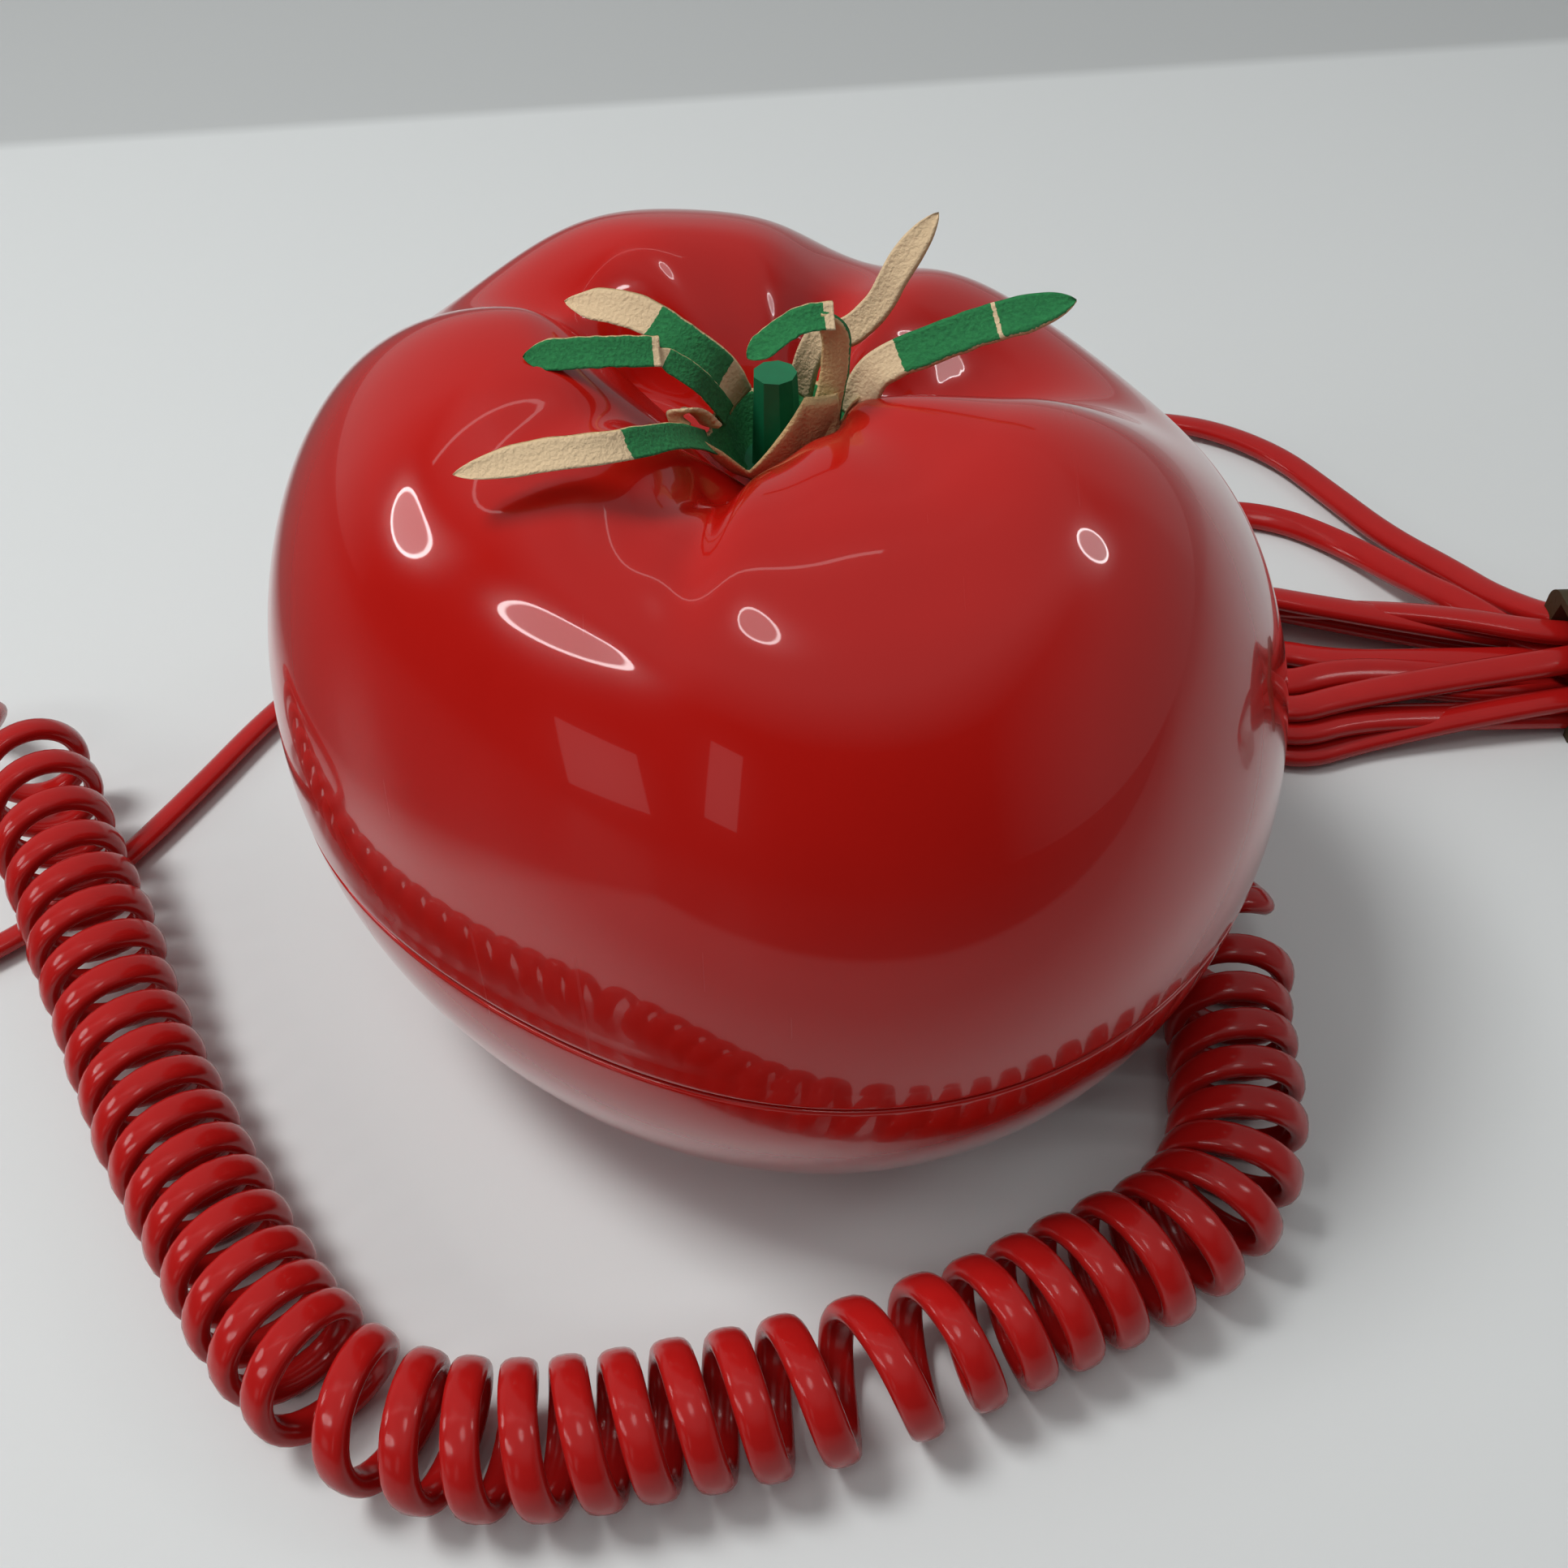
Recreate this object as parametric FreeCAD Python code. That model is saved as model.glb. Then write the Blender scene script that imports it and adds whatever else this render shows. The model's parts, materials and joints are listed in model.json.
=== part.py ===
"""Corded landline phone in the form of a tomato: lift-off dome handset on a bowl-shaped base.

Millimetres, +Z up, origin on the table under the middle of the base, front towards -Y.
Azimuths are in degrees round the fruit: 0 is the front, 90 the right side, 180 the back.
"""
import FreeCAD, Part
import math
import os

V = FreeCAD.Vector
UP = V(0, 0, 1)

# Fruit form: the meridian of the tomato
BODY_RADIUS = 56.0
EQUATOR_HEIGHT = 39.0
CROWN_HEIGHT = 88.0
CROWN_RADIUS = 23.5
DIMPLE_DEPTH = 12.0
STEM_SEAT_RADIUS = 5.0
POLE_BELOW_TABLE = 7.2
BOWL_FULLNESS = 2.25
DOME_FULLNESS = 1.92
BOWL_STEPS = 7
DOME_STEPS = 9
DIMPLE_STEPS = 4
AZIMUTH_STEPS = 48
FLAT_LIMIT = 0.001
HALVINGS = 40

# Lobes of the plan outline: order, cosine and sine amplitude
PLAN_LOBES = ((1, -2.3, 0.7), (2, -3.6, 1.9), (3, 1.6, 1.0))
# Height of the crown: lower at the front and on the right
CROWN_TILT_FRONT = -2.1
CROWN_TILT_RIGHT = -5.6
CROWN_TILT_FADE = 18.0
# Creases between the lobes: azimuth, depth, spread in degrees, radius share where it ends and is full
CREASES = (
    (-27, 4.2, 13.0, 0.72, 0.32),
    (-58, 1.6, 10.0, 0.80, 0.40),
    (-120, 7.6, 15.0, 0.97, 0.45),
    (161, 4.2, 13.0, 0.97, 0.45),
    (115, 7.8, 20.0, 0.97, 0.45),
    (66, -6.0, 30.0, 0.97, 0.40),
    (22, -3.5, 24.0, 0.60, 0.25),
)
CREASE_RISE = 8.0

# Walls, seam and fits
WALL = 2.4
SEAM_HEIGHT = 36.0
SEAM_GAP = 0.5
FIT_GAP = 0.2
REST_GAP = 0.3
SLIDE_GAP = 0.35
FOOT_STAND = 1.2

# Deck of the base and face of the handset
DECK_RECESS = 3.0
DECK_THICK = 2.0
LIP_GAP = 0.6
LIP_WALL = 1.8
FACE_RECESS = 4.0
FACE_THICK = 2.2

# Screws and their bosses
SCREW_RADIUS = 1.3
SCREW_HEAD_RADIUS = 2.6
SCREW_HEAD_HEIGHT = 1.6
SCREW_LENGTH = 9.0
BOARD_SCREW_LENGTH = 5.0
SCREW_CLEARANCE = 0.15
SCREW_RECESS_LENGTH = 2.8
SCREW_RECESS_WIDTH = 0.7
SCREW_RECESS_DEPTH = 0.9
BOSS_RADIUS = 4.0
DECK_BOSS_INSET = 13.0
DECK_BOSS_AZIMUTHS = (-132, -62, 62, 132)
HANDSET_BOSS_INSET = 18.0
HANDSET_BOSS_AZIMUTHS = (-130, -55, 55, 130)

# Keypad
KEY_PITCH_X = 14.0
KEY_PITCH_Y = 11.5
KEY_WIDTH = 10.5
KEY_DEPTH = 8.0
KEY_RISE = 2.8
KEY_FLANGE = 1.0
KEY_FLANGE_THICK = 1.2
KEY_FOOT = 1.0
KEY_FOOT_RADIUS = 2.8
KEY_TRAVEL = 1.2
KEY_EDGE = 0.8
KEY_DISH_RADIUS = 22.0
KEYPAD_Y = -4.0
KEY_NAMES = ("1", "2", "3", "4", "5", "6", "7", "8", "9", "star", "0", "hash")
KEY_COLUMNS = 3
KEY_ROWS = 4
MEMBRANE_THICK = 1.0
MEMBRANE_MARGIN = 2.5
MEMBRANE_PAD_RADIUS = 3.2
MEMBRANE_PAD_RISE = 0.2
BOARD_THICK = 1.6
BOARD_MARGIN = 4.5
KEYPAD_POST_RADIUS = 2.6
KEYPAD_CORNER_AZIMUTHS = (-140, -45, 45, 140)
KEYPAD_WALL_GAP = 0.8

# Hook switch
HOOK_KEYPAD_GAP = 1.4
HOOK_Y = -2.0
HOOK_RADIUS = 3.5
HOOK_TRAVEL = 4.0
HOOK_COLLAR_RADIUS = 5.5
HOOK_COLLAR_THICK = 1.5
HOOK_ARM_REACH = 12.0
HOOK_ARM_WIDTH = 4.0
HOOK_PIN_RADIUS = 1.8
HOOK_SWITCH_WIDTH = 6.0
HOOK_SWITCH_DEPTH = 7.0
HOOK_BUTTON_RADIUS = 1.2
HOOK_BUTTON_RISE = 3.0
SPRING_RADIUS = 3.4
SPRING_WIRE_RADIUS = 0.35
SPRING_TURNS = 5

# Inside the base
MAIN_BOARD_RISE = 9.0
MAIN_BOARD_GAP = 2.5
MAIN_BOARD_END_AZIMUTHS = (-115, -90, -62, 62, 90, 115)
MAIN_BOARD_FRONT = 22.0
MAIN_BOARD_BACK = 18.0
STANDOFF_RADIUS = 3.0
STANDOFF_INSET = 12.5
STANDOFF_Y = 14.0
WEIGHT_LENGTH = 46.0
WEIGHT_WIDTH = 20.0
WEIGHT_THICK = 4.0
RINGER_X = 14.0
RINGER_Y = 4.0
RINGER_RADIUS = 11.0
RINGER_HEIGHT = 6.0
RINGER_PORT_RADIUS = 2.0
SOUND_SLOT_Y = -22.0
SOUND_SLOT_COUNT = 4
SOUND_SLOT_LENGTH = 16.0
SOUND_SLOT_WIDTH = 2.0
SOUND_SLOT_PITCH = 4.5
FOOT_RADIUS = 5.5
FOOT_RECESS = 0.8
FOOT_EDGE = 9.0
FOOT_AZIMUTHS = (-135, -45, 45, 135)

# Ringer switch in the floor of the base
RINGER_SWITCH_GAP = 2.9
RINGER_SWITCH_TRAVEL = 4.0
RINGER_KNOB_LENGTH = 4.0
RINGER_KNOB_WIDTH = 3.0
RINGER_KNOB_STAND = 0.4
RINGER_SLOT_GAP = 0.4
RINGER_PLATE_THICK = 1.0
RINGER_BODY_SIZE = (14.0, 7.0, 4.5)

# Handset capsules
EARPIECE_Y = -22.0
EARPIECE_RADIUS = 16.0
EARPIECE_HEIGHT = 9.0
EARPIECE_BACK_SHARE = 0.72
EAR_GASKET_THICK = 1.2
EAR_WALL = 1.4
EAR_WALL_HEIGHT = 6.0
EAR_HOLE_RADIUS = 1.1
EAR_HOLE_CIRCLES = (0.0, 4.0, 8.0)
EAR_HOLE_COUNTS = (1, 6, 12)
EAR_RING_RISE = 1.2
EAR_RING_WIDTH = 2.0
MIC_Y = 32.0
MIC_RADIUS = 5.0
MIC_HEIGHT = 5.0
MIC_BOOT_WALL = 1.5
MIC_HOLE_RADIUS = 0.9
MIC_HOLE_PITCH = 3.0
TERMINAL_SIZE = (12.0, 6.0, 5.0)
TERMINAL_BOSS_GAP = 1.1
TERMINAL_Y = 26.0

# Wiring inside
LEAD_RADIUS = 0.6
LEAD_ARCH = 6.0
EAR_LEAD_OFFSET = 2.0
MIC_LEAD_OFFSET = -4.0
BOARD_LEAD_Y = 14.0
BASE_LEAD_X = -12.6
LINE_LEAD_X = 9.3
LEAD_STRAIGHT = 5.0
KEYPAD_CABLE_WIDTH = 16.0
KEYPAD_CABLE_THICK = 0.6
KEYPAD_CABLE_X = -8.0
KEYPAD_CABLE_Y = 12.0

# Stem and calyx
STEM_RADIUS = 2.7
STEM_TOP_RADIUS = 2.2
STEM_SIDES = 9
STEM_RISE = 11.5
STEM_SHANK_RADIUS = 2.0
STEM_COLLAR_RADIUS = 3.8
STEM_COLLAR_THICK = 0.8
STEM_NUT_RADIUS = 6.0
STEM_NUT_THICK = 2.0
STEM_END = 3.0
CALYX_THICK = 0.5
CALYX_CUP_RADIUS = 6.4
CALYX_FOOT_GAP = 0.5
CALYX_CUP_HEIGHT = 6.0
CALYX_STRIP_WIDTH = 3.6
CALYX_STRIP_THICK = 0.8
CALYX_TIP_SHARE = 0.35
CALYX_ROOT_HEIGHT = 5.0
# Strips of the calyx: azimuth, then radius and height over the skin along the strip
CALYX_STRIPS = (
    (-62, ((12.0, 3.6), (22.0, 3.0), (33.5, 2.4))),
    (-84, ((9.5, 7.0), (16.0, 9.0), (25.0, 6.0))),
    (-106, ((9.0, 8.0), (14.5, 9.0), (21.5, 6.0))),
    (128, ((8.5, 6.0), (11.5, 11.0), (14.5, 18.0))),
    (60, ((6.8, 8.0), (7.6, 13.0), (9.2, 16.0))),
    (94, ((10.5, 6.0), (19.0, 9.0), (26.5, 9.5))),
)

# Cords and their exits
CORD_RADIUS = 1.7
COIL_RADIUS = 8.0
GROMMET_RADIUS = 3.4
GROMMET_FLANGE_RADIUS = 4.2
GROMMET_FLANGE_THICK = 1.2
GROMMET_NOSE = 6.0
GROMMET_NOSE_RADIUS = 2.3
GROMMET_SEAT_GAP = 0.9
GROMMET_GROOVES = 3
GROMMET_GROOVE_PITCH = 1.7
GROMMET_GROOVE_WIDTH = 0.7
GROMMET_GROOVE_RADIUS = 2.0
CORD_EXIT_HEIGHT = 9.5
BASE_CORD_AZIMUTH = -150.0
LINE_CORD_AZIMUTH = 160.0
HANDSET_CORD_AZIMUTH = 140.0
HANDSET_CORD_RISE = 11.0
CORD_FIRST_RUN = 7.0

# Curly cord: from the back of the base, along the left, under the coil and round to the coil's end
BASE_TAIL_ROUTE = (
    (-33.6, 58.0, 7.0),
    (-41.0, 64.6, 3.6),
    (-51.0, 66.4, 2.0),
    (-61.5, 61.8, 2.0),
    (-71.0, 53.4, 2.0),
    (-79.5, 42.0, 2.0),
    (-87.5, 25.5, 2.0),
    (-96.5, 9.0, 2.0),
    (-107.0, -3.0, 2.0),
    (-118.0, -9.0, 2.0),
    (-129.0, -6.0, 2.0),
    (-136.0, 3.5, 2.0),
    (-137.5, 15.5, 2.6),
    (-133.0, 26.0, 4.4),
    (-125.0, 32.5, 7.0),
)
# The coil itself, from the left round the front of the phone to its right side
COIL_ROUTE = (
    (-115.5, 34.5, 8.4),
    (-110.0, 26.0, 10.2),
    (-104.0, 15.5, 12.4),
    (-98.0, 4.5, 12.6),
    (-91.5, -6.5, 11.0),
    (-84.0, -21.0, 8.6),
    (-75.5, -35.0, 8.2),
    (-65.5, -49.5, 8.2),
    (-55.5, -63.0, 8.2),
    (-44.0, -71.5, 8.2),
    (-29.0, -74.0, 8.2),
    (-13.0, -71.6, 8.2),
    (4.0, -68.6, 8.2),
    (20.0, -63.0, 8.2),
    (33.5, -57.0, 8.2),
    (45.5, -51.5, 8.2),
    (52.0, -43.0, 8.2),
    (54.0, -32.5, 8.2),
    (55.0, -21.5, 8.2),
    (58.5, -10.5, 8.2),
)
# From the coil along the right side and up to the handset
HANDSET_TAIL_ROUTE = (
    (61.0, -1.0, 6.6),
    (61.2, 9.5, 4.0),
    (60.8, 21.5, 2.8),
    (60.2, 33.5, 4.2),
    (59.0, 44.2, 8.6),
    (57.2, 52.6, 16.0),
    (55.4, 58.6, 25.0),
    (53.0, 61.2, 34.5),
    (50.0, 59.8, 43.0),
)
# Line cord: from the back of the base to the hank on the right
LINE_LEAD_ROUTE = (
    (22.8, 63.0, 6.8),
    (25.8, 74.5, 3.2),
    (31.5, 87.5, 2.0),
    (40.0, 100.0, 2.0),
    (51.5, 110.5, 2.0),
    (65.5, 116.0, 2.0),
    (79.5, 113.5, 2.0),
    (91.5, 104.0, 2.0),
    (98.5, 91.0, 2.0),
    (104.5, 78.5, 2.6),
    (111.0, 67.0, 4.6),
    (115.0, 57.0, 6.8),
)
LEAD_END = (116.0, 49.0, 8.2)
# The loose outer loop of the hank
LOOP_START = (78.0, 57.5, 5.2)
LOOP_ROUTE = (
    (69.5, 63.0, 4.2),
    (64.5, 72.0, 2.6),
    (67.0, 82.0, 2.0),
    (76.0, 87.4, 2.0),
    (87.5, 85.0, 2.0),
    (97.0, 77.0, 2.2),
    (104.0, 65.0, 4.4),
)
LOOP_END = (108.5, 52.5, 7.2)

# Hank of line cord: place along X, middle in Y, half width and height of its outer shape
HANK_WAIST = (122.0, 41.0, 8.0, 14.0)
HANK_SECTIONS = (
    (70.0, 46.5, 8.0, 7.0),
    (77.0, 46.0, 17.5, 10.0),
    (97.0, 43.5, 14.5, 12.5),
    HANK_WAIST,
    (146.0, 42.5, 12.0, 12.5),
    (166.0, 44.0, 14.0, 10.0),
    (174.0, 44.5, 7.0, 7.0),
)
HANK_CORNER = 2.8
TABLE_GAP = 0.1
TIE_WIDTH = 5.0
TIE_THICK = 1.0

# Line plug, lying beside the hank
PLUG_SIZE = (21.0, 9.6, 6.6)
PLUG_X = 161.5
PLUG_Y = 14.5
PLUG_BODY_LENGTH = 14.0
PLUG_BOOT_WIDTH = 6.6
PLUG_BOOT_HEIGHT = 4.8
PLUG_TAB_SETBACK = 1.0
PLUG_TAB_LENGTH = 14.0
PLUG_TAB_THICK = 1.2
PLUG_TAB_WIDTH = 5.0
PLUG_TAB_LIFT = 3.0
PLUG_CONTACT_COUNT = 4
PLUG_CONTACT_PITCH = 1.3
PLUG_CONTACT_WIDTH = 0.6
PLUG_CONTACT_LENGTH = 6.0
PLUG_CONTACT_DEPTH = 1.6
PLUG_CORD_RUN = 10.5
LINE_END_START = (173.0, 42.0, 4.2)
LINE_END_ROUTE = (
    (182.0, 41.5, 3.6),
    (191.8, 37.4, 2.8),
    (197.0, 28.0, 2.4),
    (193.6, 18.0, 3.0),
)
ARC_SHARE = 0.45


def smooth(t):
    """Smooth step from 0 to 1."""
    t = min(max(t, 0.0), 1.0)
    return t * t * (3.0 - 2.0 * t)


def meridian(t):
    """Radius and height along the plain meridian: 0-1 bowl, 1-2 dome, 2-3 dimple."""
    if t <= 1.0:
        z = FOOT_STAND + (EQUATOR_HEIGHT - FOOT_STAND) * math.sin(t * math.pi / 2)
        share = (EQUATOR_HEIGHT - z) / (EQUATOR_HEIGHT + POLE_BELOW_TABLE)
        return BODY_RADIUS * (1 - share**BOWL_FULLNESS) ** (1 / BOWL_FULLNESS), z
    if t <= 2.0:
        angle = (t - 1.0) * math.pi / 2
        power = 2 / DOME_FULLNESS
        r = CROWN_RADIUS + (BODY_RADIUS - CROWN_RADIUS) * max(math.cos(angle), 0.0) ** power
        return r, EQUATOR_HEIGHT + (CROWN_HEIGHT - EQUATOR_HEIGHT) * math.sin(angle) ** power
    b = t - 2.0
    return CROWN_RADIUS + (STEM_SEAT_RADIUS - CROWN_RADIUS) * b, CROWN_HEIGHT - DIMPLE_DEPTH * b**2


def meridian_normal(t):
    """Outward normal of the plain meridian as radial and vertical parts."""
    step = 0.01
    r0, z0 = meridian(max(t - step, 0.0))
    r1, z1 = meridian(min(t + step, 3.0))
    length = math.hypot(r1 - r0, z1 - z0)
    return (z1 - z0) / length, (r0 - r1) / length


def fruit_point(azimuth, t, inset=0.0):
    """Point of the lobed fruit at an azimuth in degrees, set in from its skin."""
    r, z = meridian(t)
    nr, nz = meridian_normal(t)
    phi = math.radians(azimuth)
    sink = inset
    if t > 1.0:
        rise = smooth((r - STEM_SEAT_RADIUS) / CREASE_RISE)
        for middle, depth, spread, ends, full in CREASES:
            off = (azimuth - middle + 180.0) % 360.0 - 180.0
            reach = smooth((ends - r / BODY_RADIUS) / (ends - full))
            sink += depth * reach * rise * math.exp(-((off / spread) ** 2))
    share = math.sqrt(z / EQUATOR_HEIGHT) if t <= 1.0 else r / BODY_RADIUS
    plan = sum(c * math.cos(n * phi) + s * math.sin(n * phi) for n, c, s in PLAN_LOBES)
    tilt = CROWN_TILT_FRONT * math.cos(phi) + CROWN_TILT_RIGHT * math.sin(phi)
    lift = max((z - EQUATOR_HEIGHT) / (CROWN_HEIGHT - EQUATOR_HEIGHT), 0.0)
    lift *= smooth((r - STEM_SEAT_RADIUS) / CROWN_TILT_FADE)
    radius = r - sink * nr + plan * share
    return V(radius * math.sin(phi), -radius * math.cos(phi), z - sink * nz + tilt * lift)


def fruit_solid(inset):
    """Closed solid of the fruit, set in from its skin, as one periodic spline face and two caps."""
    stations = [i / BOWL_STEPS for i in range(BOWL_STEPS)]
    stations += [1.0 + i / DOME_STEPS for i in range(DOME_STEPS)]
    stations += [2.0 + i / DIMPLE_STEPS for i in range(DIMPLE_STEPS + 1)]
    turn = 360.0 / AZIMUTH_STEPS
    poles = [[fruit_point(i * turn, t, inset) for t in stations] for i in range(AZIMUTH_STEPS)]
    spans = len(stations) - 3
    skin = Part.BSplineSurface()
    skin.buildFromPolesMultsKnots(
        poles,
        [1] * (AZIMUTH_STEPS + 1),
        [4] + [1] * (spans - 1) + [4],
        list(range(AZIMUTH_STEPS + 1)),
        list(range(spans + 1)),
        True,
        False,
        3,
        3,
    )
    face = skin.toShape()
    rings = [e for e in face.Edges if e.BoundBox.ZLength < FLAT_LIMIT]
    rings.sort(key=lambda e: e.BoundBox.ZMin)
    caps = []
    for rim, way in zip(rings, (-1, 1)):
        cap = Part.Face(Part.Wire([rim]))
        if cap.normalAt(0, 0).z * way < 0:
            cap.reverse()
        caps.append(cap)
    return Part.Solid(Part.Shell([face] + caps))


def wall_radius(azimuth, height, dome, inset=0.0):
    """Radius of the fruit at a height, on the bowl or on the lower dome, set in from its skin."""
    low, high = (1.0, 1.9) if dome else (0.0, 1.0)
    for _ in range(HALVINGS):
        middle = (low + high) / 2
        if fruit_point(azimuth, middle, inset).z < height:
            low = middle
        else:
            high = middle
    point = fruit_point(azimuth, low, inset)
    return math.hypot(point.x, point.y)


def crown_point(azimuth, radius):
    """Point of the skin at a radius on the dome or in the dimple."""
    low, high = 1.0, 3.0
    for _ in range(HALVINGS):
        middle = (low + high) / 2
        point = fruit_point(azimuth, middle)
        if math.hypot(point.x, point.y) > radius:
            low = middle
        else:
            high = middle
    return fruit_point(azimuth, low)


def outward(azimuth):
    """Horizontal direction out of the fruit at an azimuth."""
    phi = math.radians(azimuth)
    return V(math.sin(phi), -math.cos(phi), 0)


def polar(azimuth, radius, height=0.0):
    """Point at an azimuth, radius and height."""
    return outward(azimuth) * radius + V(0, 0, height)


def cylinder(radius, low, high, x=0.0, y=0.0):
    """Upright cylinder between two heights."""
    return Part.makeCylinder(radius, high - low, V(x, y, low), UP)


def block(width, depth, low, high, x=0.0, y=0.0):
    """Upright block centred on x, y between two heights."""
    return Part.makeBox(width, depth, high - low, V(x - width / 2, y - depth / 2, low))


def ring(outer, inner, low, high, x=0.0, y=0.0):
    """Upright tube between two heights."""
    return cylinder(outer, low, high, x, y).cut(cylinder(inner, low, high, x, y))


def slab(low, high):
    """Wide slab between two heights, for cutting the fruit."""
    side = 6 * BODY_RADIUS
    return block(side, side, low, high)


def joined(shapes):
    """One solid from touching shapes."""
    result = shapes[0].fuse(shapes[1:]) if len(shapes) > 1 else shapes[0]
    return result.removeSplitter()


def save(name, shape):
    """Write one sub-part and say how it came out."""
    if not shape.isValid():
        raise ValueError(name + " is not a valid solid")
    print(name, len(shape.Solids), "solids", round(shape.Volume, 1), "mm3")
    shape.exportStep("parts/" + name + ".step")


# Heights that the pieces share
TOP = CROWN_HEIGHT + 3 * abs(CROWN_TILT_RIGHT)
deck_top = SEAM_HEIGHT - DECK_RECESS
deck_bottom = deck_top - DECK_THICK
face_bottom = SEAM_HEIGHT + FACE_RECESS
face_top = face_bottom + FACE_THICK
stem_seat = CROWN_HEIGHT - DIMPLE_DEPTH
roof_inside = fruit_point(0, 3, WALL).z
floor_inside = fruit_point(0, 0, WALL).z
main_board_low = floor_inside + MAIN_BOARD_RISE
main_board_high = main_board_low + BOARD_THICK
key_flange_high = deck_bottom - REST_GAP
key_flange_low = key_flange_high - KEY_FLANGE_THICK
key_foot_low = key_flange_low - KEY_FOOT
pad_top = key_foot_low - KEY_TRAVEL - REST_GAP
membrane_high = pad_top - MEMBRANE_PAD_RISE
membrane_low = membrane_high - MEMBRANE_THICK
keypad_board_low = membrane_low - BOARD_THICK
hook_top = face_bottom - REST_GAP
hook_collar_high = deck_bottom - HOOK_TRAVEL - REST_GAP
hook_collar_low = hook_collar_high - HOOK_COLLAR_THICK

# Places that the pieces share
deck_boss_places = [polar(a, BODY_RADIUS - DECK_BOSS_INSET) for a in DECK_BOSS_AZIMUTHS]
handset_boss_places = [polar(a, BODY_RADIUS - HANDSET_BOSS_INSET) for a in HANDSET_BOSS_AZIMUTHS]
foot_circle = meridian(0)[0] - FOOT_EDGE
foot_places = [polar(a, foot_circle) for a in FOOT_AZIMUTHS]
key_places = []
for index in range(len(KEY_NAMES)):
    column = index % KEY_COLUMNS
    row = index // KEY_COLUMNS
    x = (column - (KEY_COLUMNS - 1) / 2) * KEY_PITCH_X
    y = KEYPAD_Y + ((KEY_ROWS - 1) / 2 - row) * KEY_PITCH_Y
    key_places.append(V(x, y, 0))
keypad_width = (KEY_COLUMNS - 1) * KEY_PITCH_X + KEY_WIDTH + 2 * KEY_FLANGE
keypad_depth = (KEY_ROWS - 1) * KEY_PITCH_Y + KEY_DEPTH + 2 * KEY_FLANGE
membrane_width = keypad_width + 2 * MEMBRANE_MARGIN
membrane_depth = keypad_depth + 2 * MEMBRANE_MARGIN
post_x = membrane_width / 2 + KEYPAD_POST_RADIUS + FIT_GAP
post_y = membrane_depth / 2 - KEYPAD_POST_RADIUS
keypad_posts = [V(sx * post_x, KEYPAD_Y + sy * post_y, 0) for sx in (-1, 1) for sy in (-1, 1)]
keypad_board_half = post_x + BOARD_MARGIN / 2 + SCREW_RADIUS
keypad_walls = [wall_radius(a, keypad_board_low, False, WALL) for a in KEYPAD_CORNER_AZIMUTHS]
keypad_board_reach = min(keypad_walls) - KEYPAD_WALL_GAP
hook_x = -(keypad_board_half + HOOK_COLLAR_RADIUS + HOOK_KEYPAD_GAP)
hook_switch_y = HOOK_Y + HOOK_ARM_REACH - HOOK_SWITCH_DEPTH / 2
board_walls = [wall_radius(a, main_board_low, False, WALL) for a in MAIN_BOARD_END_AZIMUTHS]
main_board_radius = min(board_walls) - MAIN_BOARD_GAP
standoff_x = main_board_radius - STANDOFF_INSET
standoff_places = [V(sx * standoff_x, sy * STANDOFF_Y, 0) for sx in (-1, 1) for sy in (-1, 1)]
ringer_switch_low = floor_inside + RINGER_PLATE_THICK + 2 * RINGER_SLOT_GAP
ringer_switch_wall = wall_radius(180, ringer_switch_low, False, WALL)
ringer_switch_y = ringer_switch_wall - RINGER_BODY_SIZE[1] / 2 - RINGER_SWITCH_GAP
terminal_x = handset_boss_places[-1].x - BOSS_RADIUS - TERMINAL_BOSS_GAP - TERMINAL_SIZE[0] / 2


def screw(place, seat_height, downwards, length=SCREW_LENGTH):
    """Cross-recessed screw with its head's seat at a height, pointing down or up."""
    way = -1 if downwards else 1
    seat = V(place.x, place.y, seat_height)
    head = Part.makeCylinder(SCREW_HEAD_RADIUS, SCREW_HEAD_HEIGHT, seat, V(0, 0, -way))
    shank = Part.makeCylinder(SCREW_RADIUS, length, seat, V(0, 0, way))
    end = seat_height - way * SCREW_HEAD_HEIGHT
    low, high = sorted((end, end + way * SCREW_RECESS_DEPTH))
    sizes = (SCREW_RECESS_LENGTH, SCREW_RECESS_WIDTH)
    arms = [block(*size, low, high, place.x, place.y) for size in (sizes, sizes[::-1])]
    return joined([head, shank]).cut(joined(arms))


def pilot(place, low, high):
    """Hole that a screw passes through."""
    return cylinder(SCREW_RADIUS + SCREW_CLEARANCE, low, high, place.x, place.y)


def head_hole(place, low, high):
    """Counterbore that a screw's head sits in."""
    return cylinder(SCREW_HEAD_RADIUS + SCREW_CLEARANCE, low, high, place.x, place.y)


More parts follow.
